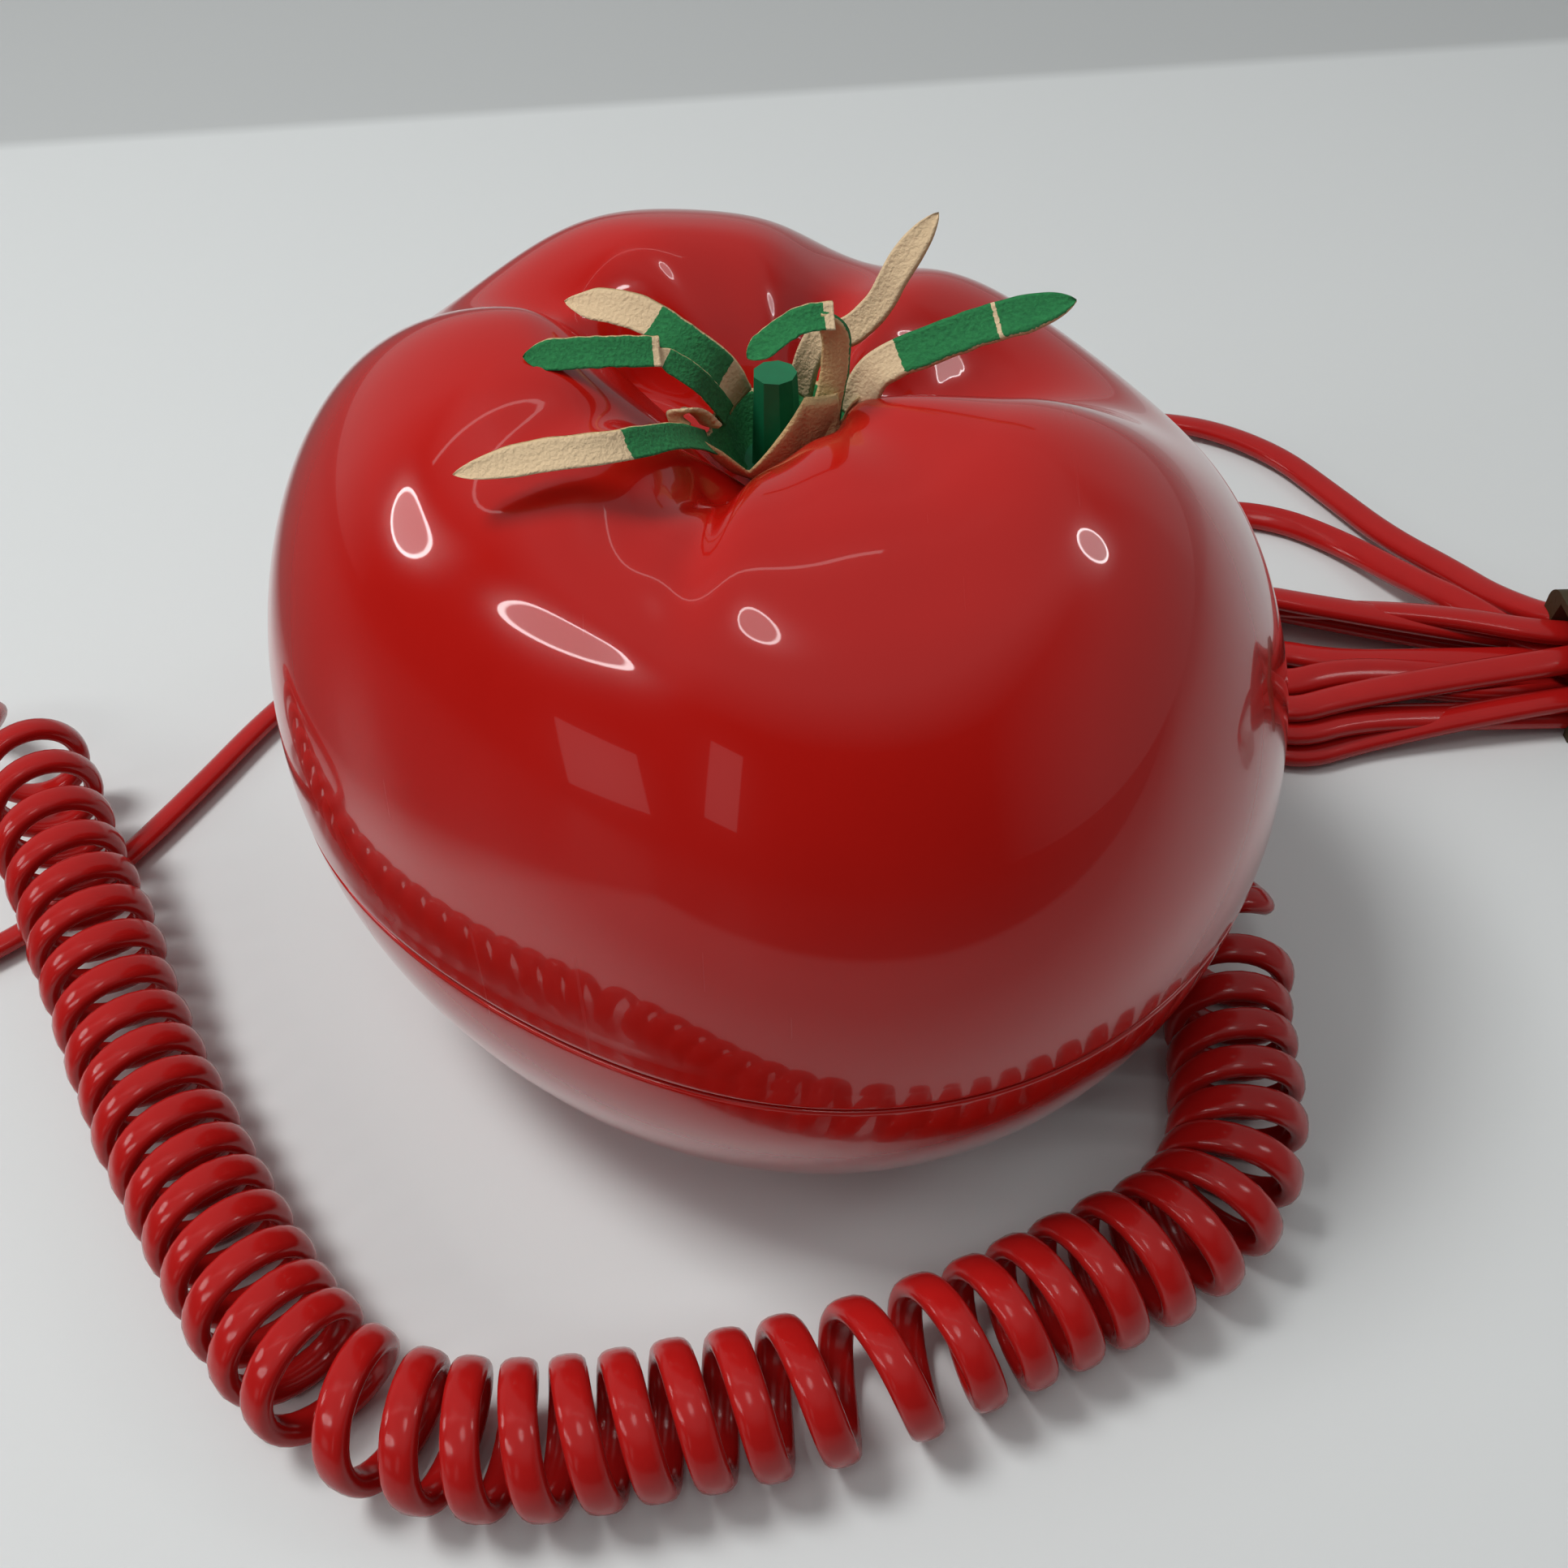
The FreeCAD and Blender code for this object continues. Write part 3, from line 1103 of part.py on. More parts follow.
def build():
    """Make every sub-part and write it."""
    os.makedirs("parts", exist_ok=True)
    skin = fruit_solid(0.0)
    hollow = fruit_solid(WALL)
    fitting = fruit_solid(WALL + FIT_GAP)
    lip_outside = fruit_solid(WALL + LIP_GAP)
    lip_inside = fruit_solid(WALL + LIP_GAP + LIP_WALL)

    save("handset_shell", handset_shell(skin, hollow))
    save("handset_faceplate", handset_faceplate(fitting))
    save("handset_screws", handset_screws())
    gasket_in = EARPIECE_RADIUS - 2 * EAR_WALL
    gasket_top = face_top + EAR_GASKET_THICK
    save("earpiece_gasket", ring(EARPIECE_RADIUS, gasket_in, face_top, gasket_top, 0, EARPIECE_Y))
    save("earpiece", earpiece())
    save("microphone", microphone())
    boot_in = MIC_RADIUS + FIT_GAP / 2
    boot_out = boot_in + MIC_BOOT_WALL
    save("microphone_boot", ring(boot_out, boot_in, face_top, face_top + MIC_HEIGHT, 0, MIC_Y))
    width, depth, height = TERMINAL_SIZE
    terminal = block(width, depth, face_top, face_top + height, terminal_x, TERMINAL_Y)
    save("handset_terminal_block", terminal)
    save("handset_leads", handset_leads())
    save("handset_cord_grommet", handset_exit.solid())
    save("stem", stem())
    save("stem_nut", stem_nut())
    save("calyx", calyx())

    save("base_shell", base_shell(skin, hollow))
    save("base_deck", base_deck(fitting, lip_outside, lip_inside))
    save("deck_screws", deck_screws())
    save("base_feet", base_feet())
    save("base_weight", base_weight())
    save("main_board", main_board())
    save("board_screws", board_screws())
    save("base_leads", base_leads())
    save("ringer", ringer())
    save("hook_switch", hook_switch())
    save("hook_spring", hook_spring())
    save("hook_plunger", hook_plunger())
    save("keypad_membrane", keypad_membrane())
    save("keypad_board", keypad_board())
    save("keypad_screws", keypad_screws())
    cable = (KEYPAD_CABLE_WIDTH, KEYPAD_CABLE_THICK, main_board_high, keypad_board_low)
    save("keypad_cable", block(*cable, KEYPAD_CABLE_X, KEYPAD_CABLE_Y))
    for name, place in zip(KEY_NAMES, key_places):
        save("key_" + name, key(place))
    save("ringer_switch", ringer_switch())
    save("ringer_knob", ringer_knob())
    save("base_cord_grommet", base_exit.solid())
    save("line_cord_grommet", line_exit.solid())

    base_tail = out_of(base_exit) + list(BASE_TAIL_ROUTE) + [COIL_ROUTE[0]]
    save("curly_cord_base_tail", cord_tube("base tail", base_tail, CORD_RADIUS))
    save("curly_cord_coil", cord_tube("coil", COIL_ROUTE, COIL_RADIUS))
    handset_tail = [COIL_ROUTE[-1]] + list(HANDSET_TAIL_ROUTE) + out_of(handset_exit)[::-1]
    save("curly_cord_handset_tail", cord_tube("handset tail", handset_tail, CORD_RADIUS))
    lead = out_of(line_exit) + list(LINE_LEAD_ROUTE) + [LEAD_END]
    save("line_cord_lead", cord_tube("line lead", lead, CORD_RADIUS))
    loop = [LOOP_START] + list(LOOP_ROUTE) + [LOOP_END]
    save("line_cord_loop", cord_tube("line loop", loop, CORD_RADIUS))
    body = hank()
    save("line_cord_hank", body)
    save("line_cord_tie", hank_tie(body))
    into_plug = (PLUG_X + PLUG_SIZE[0] / 2, PLUG_Y, TABLE_GAP + PLUG_SIZE[2] / 2)
    before_plug = (into_plug[0] + PLUG_CORD_RUN, PLUG_Y, into_plug[2])
    end = [LINE_END_START] + list(LINE_END_ROUTE) + [before_plug, into_plug]
    save("line_cord_end", cord_tube("line end", end, CORD_RADIUS))
    save("line_plug", line_plug())


build()
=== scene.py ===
"""Dressed scene of a corded phone in the form of a tomato.

Laid out as an add-on and run as a script. Route tables are in millimetres, +Z up, front towards -Y.
Azimuths are in degrees round the fruit: 0 is the front, 90 the right side, 180 the back.
"""

import bisect
import json
import math

import bmesh
import bpy
from mathutils import Matrix, Vector, noise


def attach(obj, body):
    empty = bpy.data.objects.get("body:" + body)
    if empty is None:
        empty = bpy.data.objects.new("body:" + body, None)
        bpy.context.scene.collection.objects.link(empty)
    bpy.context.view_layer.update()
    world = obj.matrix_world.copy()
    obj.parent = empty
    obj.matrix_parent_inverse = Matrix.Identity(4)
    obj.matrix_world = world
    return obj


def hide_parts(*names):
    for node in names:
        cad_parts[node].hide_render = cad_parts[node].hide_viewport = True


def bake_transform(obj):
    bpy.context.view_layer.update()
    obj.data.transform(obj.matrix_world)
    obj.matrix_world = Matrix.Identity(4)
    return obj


bl_info = {
    "name": "Tomato Phone",
    "version": (1, 0, 0),
    "blender": (4, 5, 0),
    "location": "3D View > Sidebar > Tomato Phone",
    "description": "Builds the looks of a corded tomato phone round its packed frame",
    "category": "Add Mesh",
}

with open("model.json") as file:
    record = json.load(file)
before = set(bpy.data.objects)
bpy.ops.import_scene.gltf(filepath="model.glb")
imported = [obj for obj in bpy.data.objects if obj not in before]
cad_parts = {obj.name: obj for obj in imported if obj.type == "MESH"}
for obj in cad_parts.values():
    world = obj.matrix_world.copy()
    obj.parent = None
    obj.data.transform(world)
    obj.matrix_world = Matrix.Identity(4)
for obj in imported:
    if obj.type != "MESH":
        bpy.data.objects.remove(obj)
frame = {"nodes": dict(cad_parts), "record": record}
NODES = frame["nodes"]
SLOT_OF = {row["node"]: row["material_slot"] for row in frame["record"]["subparts"]}
BODIES = frame["record"]["behaviour"]["bodies"]
BODY_OF = {node: body for body, nodes in BODIES.items() for node in nodes}
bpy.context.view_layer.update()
MM = 0.001
UP = Vector((0, 0, 1))

# Fruit form, as in the part's source
BODY_RADIUS = 56.0
EQUATOR_HEIGHT = 39.0
CROWN_HEIGHT = 88.0
CROWN_RADIUS = 23.5
DIMPLE_DEPTH = 12.0
STEM_SEAT_RADIUS = 5.0
POLE_BELOW_TABLE = 7.2
BOWL_FULLNESS = 2.25
DOME_FULLNESS = 1.92
FOOT_STAND = 1.2
# Waves of the plan: how many round the fruit, and their cosine and sine parts
PLAN_LOBES = ((1, -2.3, 0.7), (2, -3.6, 1.9), (3, 1.6, 1.0))
CROWN_TILT_FRONT = -2.1
CROWN_TILT_RIGHT = -5.6
CROWN_TILT_FADE = 18.0
# Creases between lobes: azimuth, depth, spread, and radius shares where they end and are full
CREASES = (
    (-27, 4.2, 13.0, 0.72, 0.32),
    (-58, 1.6, 10.0, 0.80, 0.40),
    (-120, 7.6, 15.0, 0.97, 0.45),
    (161, 4.2, 13.0, 0.97, 0.45),
    (115, 7.8, 20.0, 0.97, 0.45),
    (66, -6.0, 30.0, 0.97, 0.40),
    (22, -3.5, 24.0, 0.60, 0.25),
)
CREASE_RISE = 8.0
# Finer folds of the skin, in the same terms
FOLDS = ((-17, 1.0, 5.0, 0.76, 0.45),)
SEAM_HEIGHT = 36.0
STEM_HOLE_RADIUS = 2.2

# Slots in the floor of the base: width, depth, y
FLOOR_SLOTS = (
    (16.0, 2.0, -28.75),
    (16.0, 2.0, -24.25),
    (16.0, 2.0, -19.75),
    (16.0, 2.0, -15.25),
    (8.8, 3.8, 29.98),
)
SLOT_CUTTER_HEIGHT = 20.0
# Rings of the floor of the bowl as shares of its edge, outside and inside
FLOOR_RINGS = (0.0, 0.3, 0.6, 0.8, 0.9, 0.96, 0.99)
INNER_FLOOR_RINGS = (0.9, 0.6, 0.3, 0.0)

# Curly cord: base tail, coil and handset tail
BASE_EXIT = ((-26.01, 45.05, 9.5), (-29.51, 51.11, 9.5))
BASE_TAIL_ROUTE = (
    (-33.6, 58.0, 7.0),
    (-41.0, 64.6, 3.6),
    (-51.0, 66.4, 2.0),
    (-61.5, 61.8, 2.0),
    (-71.0, 53.4, 2.0),
    (-79.5, 42.0, 2.0),
    (-87.5, 25.5, 2.0),
    (-96.5, 9.0, 2.0),
    (-107.0, -3.0, 2.0),
    (-118.0, -9.0, 2.0),
    (-129.0, -6.0, 2.0),
    (-136.0, 3.5, 2.0),
    (-137.5, 15.5, 2.6),
    (-134.0, 27.0, 4.4),
    (-130.0, 36.5, 5.8),
    (-122.5, 39.0, 7.2),
)
COIL_ROUTE = (
    (-115.5, 34.5, 8.4),
    (-110.0, 26.0, 10.2),
    (-104.0, 15.5, 12.4),
    (-98.0, 4.5, 12.6),
    (-91.5, -6.5, 11.0),
    (-84.0, -21.0, 8.6),
    (-75.5, -35.0, 8.2),
    (-65.5, -49.5, 8.2),
    (-55.5, -63.0, 8.2),
    (-44.0, -71.5, 8.2),
    (-29.0, -74.0, 8.2),
    (-13.0, -71.6, 8.2),
    (4.0, -68.6, 8.2),
    (20.0, -63.0, 8.2),
    (33.5, -57.0, 8.2),
    (45.5, -51.5, 8.2),
    (52.0, -43.0, 8.2),
    (54.0, -32.5, 8.2),
    (55.0, -21.5, 8.2),
    (58.5, -10.5, 8.2),
)
HANDSET_TAIL_ROUTE = (
    (61.0, -1.0, 6.6),
    (61.2, 9.5, 4.0),
    (60.8, 21.5, 2.8),
    (60.2, 33.5, 4.2),
    (59.0, 44.2, 8.6),
    (57.2, 52.6, 16.0),
    (55.4, 58.6, 25.0),
    (53.0, 61.2, 34.5),
    (50.0, 59.8, 43.0),
)
# How far past its route's first and last points the coil is wound
COIL_LATE_START = 2.0
COIL_LATE_END = 6.0
# Steps over which the winding starts and ends
COIL_WIND_IN = 50
# How much the coil's radius and pitch vary, as shares
COIL_RADIUS_SPREAD = 0.05
COIL_PITCH_SPREAD = 0.12
# Where the coil's turns lie looser: share of its length, spread and loss of turns
LOOSE_TURNS = ((0.03, 0.08, 0.45), (0.455, 0.018, 0.50), (0.67, 0.035, 0.35), (0.97, 0.03, 0.25))
HANDSET_EXIT = ((44.87, 53.47, 47.0), (40.37, 48.11, 47.0))

# Line cord: lead, hank and end
LINE_EXIT = ((17.46, 47.96, 9.5), (19.85, 54.54, 9.5))
LINE_LEAD_ROUTE = (
    (22.8, 63.0, 6.8),
    (25.8, 74.5, 3.2),
    (31.5, 87.5, 2.0),
    (40.0, 100.0, 2.0),
    (51.5, 110.5, 2.0),
    (65.5, 116.0, 2.0),
    (79.5, 113.5, 2.0),
    (91.5, 104.0, 2.0),
    (98.5, 91.0, 2.0),
    (104.5, 78.5, 2.6),
    (111.0, 67.0, 4.6),
    (115.0, 57.0, 6.8),
)
LOOP_ROUTE = (
    (102.0, 52.0, 8.6),
    (78.0, 57.5, 5.2),
    (69.5, 63.0, 4.2),
    (64.5, 72.0, 2.6),
    (67.0, 82.0, 2.0),
    (76.0, 87.4, 2.0),
    (87.5, 85.0, 2.0),
    (97.0, 77.0, 2.2),
    (104.0, 65.0, 4.4),
    (110.0, 54.0, 7.6),
)
LINE_END_ROUTE = (
    (144.0, 45.0, 3.0),
    (160.0, 42.6, 4.0),
    (173.0, 42.0, 4.2),
    (182.0, 41.5, 3.6),
    (191.8, 37.4, 2.8),
    (197.0, 28.0, 2.4),
    (193.6, 18.0, 3.0),
    (182.5, 14.5, 3.4),
)
PLUG_BACK = (172.0, 14.5, 3.4)
# Spacing of the line cord's rings in metres, and how far and how fast its flat side turns
LINE_STEP = 0.0016
LINE_TWIST = 1.1
LINE_TWIST_PACE = 0.018
# Waist of the hank: its x, how far from it the strands gather, and y and z in the order of the cord
HANK_WAIST_X = 122.0
WAIST_REACH = 20.0
WAIST_PLACES = (
    (47.0, 10.2),
    (46.8, 6.2),
    (43.0, 2.2),
    (43.0, 10.4),
    (39.0, 6.2),
    (43.0, 6.2),
    (35.0, 2.2),
    (39.0, 2.2),
    (35.2, 6.2),
    (39.0, 10.4),
    (47.0, 2.2),
)
# Folds of the hank in the same order: x of the tip, y and z going in, y and z coming out
RIGHT_BIGHTS = (
    (172.0, 56.0, 9.0, 33.0, 8.2),
    (175.0, 30.0, 2.2, 57.5, 2.4),
    (173.0, 31.5, 5.4, 55.0, 5.4),
    (169.5, 34.5, 2.2, 52.5, 2.2),
    (168.0, 35.5, 5.4, 51.0, 5.6),
)
# None stands for the loose loop
LEFT_BIGHTS = (
    (67.0, 54.5, 8.2, 39.6, 8.0),
    None,
    (68.0, 44.5, 5.3, 32.0, 5.3),
    (69.0, 43.5, 2.2, 30.5, 2.2),
    (66.5, 34.0, 8.0, 59.0, 2.2),
)
# Form of each fold: where it starts and is widest, measured from its tip, and how much wider it is
BIGHT_REACH = 18.0
BIGHT_SHOULDER = 8.0
BIGHT_SWELL = 3.5


class FruitSettings(bpy.types.PropertyGroup):
    """Shells of the phone"""

    wall: bpy.props.FloatProperty(
        name="Wall", description="Thickness of the moulded shells",
        default=0.0024, min=0.001, unit="LENGTH",
    )
    seam_gap: bpy.props.FloatProperty(
        name="Seam gap", description="Open line between dome and bowl",
        default=0.0005, min=0.0001, unit="LENGTH",
    )
    lip_round: bpy.props.FloatProperty(
        name="Lip rounding", description="Radius of the edges along the seam",
        default=0.0004, unit="LENGTH",
    )
    columns: bpy.props.IntProperty(
        name="Columns", description="Faces round the fruit",
        default=288, min=48,
    )
    rows: bpy.props.IntProperty(
        name="Rows", description="Faces up the dome's skin",
        default=110, min=20,
    )
    colour: bpy.props.FloatVectorProperty(
        name="Red", description="Glossy red of the shells",
        default=(0.45, 0.006, 0.003), subtype="COLOR",
    )


class CordSettings(bpy.types.PropertyGroup):
    """Curly cord and line cord"""

    turns: bpy.props.IntProperty(
        name="Turns", description="Turns of the curly cord",
        default=42, min=4,
    )
    coil_radius: bpy.props.FloatProperty(
        name="Coil radius", description="From the coil's axis to its strand",
        default=0.0068, unit="LENGTH",
    )
    strand_width: bpy.props.FloatProperty(
        name="Strand width", description="Flat side of the curly cord",
        default=0.0040, unit="LENGTH",
    )
    strand_thick: bpy.props.FloatProperty(
        name="Strand thickness", description="Thin side of the curly cord",
        default=0.0025, unit="LENGTH",
    )
    line_width: bpy.props.FloatProperty(
        name="Line width", description="Flat side of the line cord", default=0.0045, unit="LENGTH"
    )
    line_thick: bpy.props.FloatProperty(
        name="Line thickness", description="Thin side of the line cord",
        default=0.0028, unit="LENGTH",
    )
    colour: bpy.props.FloatVectorProperty(
        name="Cord red", description="Red of both cords",
        default=(0.40, 0.009, 0.008), subtype="COLOR",
    )


class CalyxSettings(bpy.types.PropertyGroup):
    """Stem and leaves"""

    thick: bpy.props.FloatProperty(
        name="Paper", description="Thickness of the flocked paper", default=0.0004, unit="LENGTH"
    )
    green: bpy.props.FloatVectorProperty(
        name="Flock", description="Green of the flock",
        default=(0.034, 0.27, 0.082), subtype="COLOR",
    )
    dark: bpy.props.FloatVectorProperty(
        name="Dark flock", description="Green in the folds",
        default=(0.009, 0.095, 0.034), subtype="COLOR",
    )
    cream: bpy.props.FloatVectorProperty(
        name="Bare paper", description="Paper where the flock has worn off",
        default=(0.70, 0.52, 0.32), subtype="COLOR",
    )
    tan: bpy.props.FloatVectorProperty(
        name="Backing", description="Back of the paper", default=(0.62, 0.42, 0.20), subtype="COLOR"
    )
    stem: bpy.props.FloatVectorProperty(
        name="Stem", description="Green of the stem", default=(0.008, 0.15, 0.060), subtype="COLOR"
    )


class StageSettings(bpy.types.PropertyGroup):
    """Camera, floor and light"""

    lens: bpy.props.FloatProperty(
        name="Lens", description="Focal length",
        default=36.075, unit="CAMERA",
    )
    floor: bpy.props.FloatVectorProperty(
        name="Floor", description="Pale table", default=(0.67, 0.69, 0.685), subtype="COLOR"
    )
    sky: bpy.props.FloatProperty(
        name="Room light", description="Strength of the even light",
        default=0.37, min=0,
    )
    ceiling: bpy.props.FloatProperty(
        name="Ceiling light", description="Power of the soft light",
        default=6.2, unit="POWER",
    )
    lamp: bpy.props.FloatProperty(
        name="Lamps", description="Power of each small lamp",
        default=0.60, unit="POWER",
    )


def smooth(t):
    """Smooth step from 0 to 1."""
    t = min(max(t, 0.0), 1.0)
    return t * t * (3.0 - 2.0 * t)


# Shares along the meridian where the bowl, the dome and the dimple end
BOWL_END, DOME_END, DIMPLE_END = 1.0, 2.0, 3.0


def meridian(t):
    """Radius and height along the plain meridian: bowl, dome, then dimple."""
    if t <= BOWL_END:
        z = FOOT_STAND + (EQUATOR_HEIGHT - FOOT_STAND) * math.sin(t * math.pi / 2)
        share = (EQUATOR_HEIGHT - z) / (EQUATOR_HEIGHT + POLE_BELOW_TABLE)
        return BODY_RADIUS * (1 - share**BOWL_FULLNESS) ** (1 / BOWL_FULLNESS), z
    if t <= DOME_END:
        angle = (t - BOWL_END) * math.pi / 2
        power = 2 / DOME_FULLNESS
        r = CROWN_RADIUS + (BODY_RADIUS - CROWN_RADIUS) * max(math.cos(angle), 0.0) ** power
        return r, EQUATOR_HEIGHT + (CROWN_HEIGHT - EQUATOR_HEIGHT) * math.sin(angle) ** power
    share = t - DOME_END
    r = CROWN_RADIUS + (STEM_SEAT_RADIUS - CROWN_RADIUS) * share
    return r, CROWN_HEIGHT - DIMPLE_DEPTH * share**2


def meridian_normal(t):
    """Outward normal of the plain meridian as radial and vertical parts."""
    step = 0.01
    r0, z0 = meridian(max(t - step, 0.0))
    r1, z1 = meridian(min(t + step, DIMPLE_END))
    length = math.hypot(r1 - r0, z1 - z0)
    return (z1 - z0) / length, (r0 - r1) / length


def fruit_point(azimuth, t, inset=0.0):
    """Point of the lobed fruit in millimetres, set in from its skin."""
    r, z = meridian(t)
    nr, nz = meridian_normal(t)
    phi = math.radians(azimuth)
    sink = inset
    if t > BOWL_END:
        rise = smooth((r - STEM_SEAT_RADIUS) / CREASE_RISE)
        for middle, depth, spread, ends, full in CREASES + FOLDS:
            off = (azimuth - middle + 180.0) % 360.0 - 180.0
            reach = smooth((ends - r / BODY_RADIUS) / (ends - full))
            sink += depth * reach * rise * math.exp(-((off / spread) ** 2))
    share = math.sqrt(z / EQUATOR_HEIGHT) if t <= BOWL_END else r / BODY_RADIUS
    plan = sum(c * math.cos(n * phi) + s * math.sin(n * phi) for n, c, s in PLAN_LOBES)
    tilt = CROWN_TILT_FRONT * math.cos(phi) + CROWN_TILT_RIGHT * math.sin(phi)
    lift = max((z - EQUATOR_HEIGHT) / (CROWN_HEIGHT - EQUATOR_HEIGHT), 0.0)
    lift *= smooth((r - STEM_SEAT_RADIUS) / CROWN_TILT_FADE)
    radius = r - sink * nr + plan * share
    return Vector((radius * math.sin(phi), -radius * math.cos(phi), z - sink * nz + tilt * lift))


def bisect_share(low, high, before, steps):
    """Share between two bounds up to which a test holds."""
    for _ in range(steps):
        middle = (low + high) / 2
        if before(middle):
            low = middle
        else:
            high = middle
    return low


def bowl_share(height, inset):
    """Meridian share on the bowl where the skin, set in, has a height."""
    return bisect_share(0.0, BOWL_END, lambda t: fruit_point(0.0, t, inset).z < height, 40)


def lip_rows(seam, way, wall, rounding, steps=4):
    """Rows over a rounded lip from the outside in; way is 1 for the dome and -1 for the bowl."""
    rows = []
    for outside in (True, False):
        for step in range(steps + 1):
            angle = (step if outside else steps - step) * math.pi / 2 / steps
            inset = rounding * (1 - math.cos(angle))
            height = seam + way * rounding * (1 - math.sin(angle))
            inset = inset if outside else wall - inset
            rows.append(("skin", bowl_share(height, inset), inset))
    return rows


def row_point(row, azimuth):
    """Point in metres of a profile row: a row of the skin, a share of one, or a plain ring."""
    kind, first, second = row
    if kind == "skin":
        return fruit_point(azimuth, first, second) * MM
    if kind == "disc":
        edge = fruit_point(azimuth, 0.0, second)
        return Vector((edge.x * first, edge.y * first, edge.z)) * MM
    phi = math.radians(azimuth)
    return Vector((first * math.sin(phi), -first * math.cos(phi), second)) * MM


def finish_mesh(name, bm):
    """Object at the origin from a bmesh, with outward normals and smooth shading."""
    bmesh.ops.recalc_face_normals(bm, faces=bm.faces)
    for face in bm.faces:
        face.smooth = True
    mesh = bpy.data.meshes.new(name)
    bm.to_mesh(mesh)
    bm.free()
    obj = bpy.data.objects.new(name, mesh)
    bpy.context.scene.collection.objects.link(obj)
    return obj


def grid_bmesh(columns, rows, place, tint=None):
    """Grid of quads placed by a formula of column and row; coinciding edges are merged."""
    bm = bmesh.new()
    bm.loops.layers.uv.new("UVMap")
    paint = bm.verts.layers.float_color.new("paint") if tint else None
    made = bmesh.ops.create_grid(bm, x_segments=columns, y_segments=rows, size=0.5, calc_uvs=True)
    for vert in made["verts"]:
        column = round((vert.co.x + 0.5) * columns)
        row = round((vert.co.y + 0.5) * rows)
        vert.co = place(column, row)
        if tint:
            vert[paint] = tint(column, row)
    bmesh.ops.remove_doubles(bm, verts=bm.verts, dist=1e-6)
    return bm


def dress(obj, slot, material, body=None, stands_for=()):
    """Give a piece its material, and let it ride and stand for nodes."""
    obj.data.materials.clear()
    obj.data.materials.append(material)
    if body:
        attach(obj, body)
    if stands_for:
        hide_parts(*stands_for)


def curve_mesh(data):
    """Mesh of a curve or a text, which is then removed."""
    obj = bpy.data.objects.new(data.name, data)
    bpy.context.scene.collection.objects.link(obj)
    mesh = bpy.data.meshes.new_from_object(obj)
    bpy.data.objects.remove(obj)
    bpy.data.curves.remove(data)
    return mesh


class Line:
    """Line along a NURBS spline, with places by length."""

    def __init__(self, name, route):
        data = bpy.data.curves.new(name, "CURVE")
        data.dimensions = "3D"
        data.resolution_u = 24
        spline = data.splines.new("NURBS")
        spline.points.add(len(route) - 1)
        for point, place in zip(spline.points, route):
            point.co = (place[0] * MM, place[1] * MM, place[2] * MM, 1.0)
        spline.order_u = 3
        spline.use_endpoint_u = True
        mesh = curve_mesh(data)
        self.points = [v.co.copy() for v in mesh.vertices]
        bpy.data.meshes.remove(mesh)
        self.lengths = [0.0]
        for before, after in zip(self.points, self.points[1:]):
            self.lengths.append(self.lengths[-1] + (after - before).length)
        self.length = self.lengths[-1]

    def at(self, length):
        """Point at a length along the line."""
        index = min(max(bisect.bisect_right(self.lengths, length), 1), len(self.points) - 1)
        span = self.lengths[index] - self.lengths[index - 1]
        share = (length - self.lengths[index - 1]) / span
        return self.points[index - 1].lerp(self.points[index], share)

    def nearest(self, place):
        """Length along the line nearest to a place in millimetres."""
        target = Vector(place) * MM
        index = min(range(len(self.points)), key=lambda i: (self.points[i] - target).length)
        return self.lengths[index]


def carried_normals(points):
    """Tangents and side directions along a line, carried along without twist."""
    tangents = []
    for index in range(len(points)):
        before = points[max(index - 1, 0)]
        after = points[min(index + 1, len(points) - 1)]
        tangents.append((after - before).normalized())
    normals = []
    normal = UP
    for tangent in tangents:
        normal = (normal - tangent * normal.dot(tangent)).normalized()
        normals.append(normal)
    return tangents, normals


def oval_tube(name, points, normals, width, thick, sides=16, square=0.80):
    """Closed flat tube with rounded edges along points; normals give its thin direction."""
    tangents, normals = carried_each(points, normals)
    last = len(points) - 1

    def place(column, row):
        angle = 2 * math.pi * (column % sides) / sides
        across = math.copysign(abs(math.cos(angle)) ** square, math.cos(angle))
        deep = math.copysign(abs(math.sin(angle)) ** square, math.sin(angle))
        wide = tangents[row].cross(normals[row])
        return points[row] + wide * (across * width / 2) + normals[row] * (deep * thick / 2)

    bm = grid_bmesh(sides, last, place)
    open_edges = [e for e in bm.edges if e.is_boundary]
    bmesh.ops.holes_fill(bm, edges=open_edges, sides=0)
    return finish_mesh(name, bm)


def carried_each(points, normals):
    """Tangents of a line and its given side directions, made square to them."""
    tangents, _ = carried_normals(points)
    square = [(n - t * n.dot(t)).normalized() for n, t in zip(normals, tangents)]
    return tangents, square


def new_material(name):
    """Empty node material with its principled shader."""
    material = bpy.data.materials.new(name)
    material.use_nodes = True
    tree = material.node_tree
    return material, tree, tree.nodes["Principled BSDF"]


def add_node(tree, kind, inputs=(), **settings):
    """New shader node with its settings and its constant inputs."""
    node = tree.nodes.new("ShaderNode" + kind)
    for name, value in settings.items():
        setattr(node, name, value)
    for socket, value in dict(inputs).items():
        node.inputs[socket].default_value = value
    return node


def colour_mix(tree, factor, first, second):
    """Mix of two colours, each a constant or a socket, by a factor."""
    mix = add_node(tree, "Mix", data_type="RGBA")
    tree.links.new(factor, mix.inputs["Factor"])
    for name, value in (("A", first), ("B", second)):
        if isinstance(value, bpy.types.NodeSocket):
            tree.links.new(value, mix.inputs[name])
        else:
            mix.inputs[name].default_value = (*value, 1)
    return mix.outputs["Result"]


def largest(tree, sockets):
    """Largest of several values."""
    total = sockets[0]
    for socket in sockets[1:]:
        both = add_node(tree, "Math", operation="MAXIMUM")
        tree.links.new(total, both.inputs[0])
        tree.links.new(socket, both.inputs[1])
        total = both.outputs["Value"]
    return total


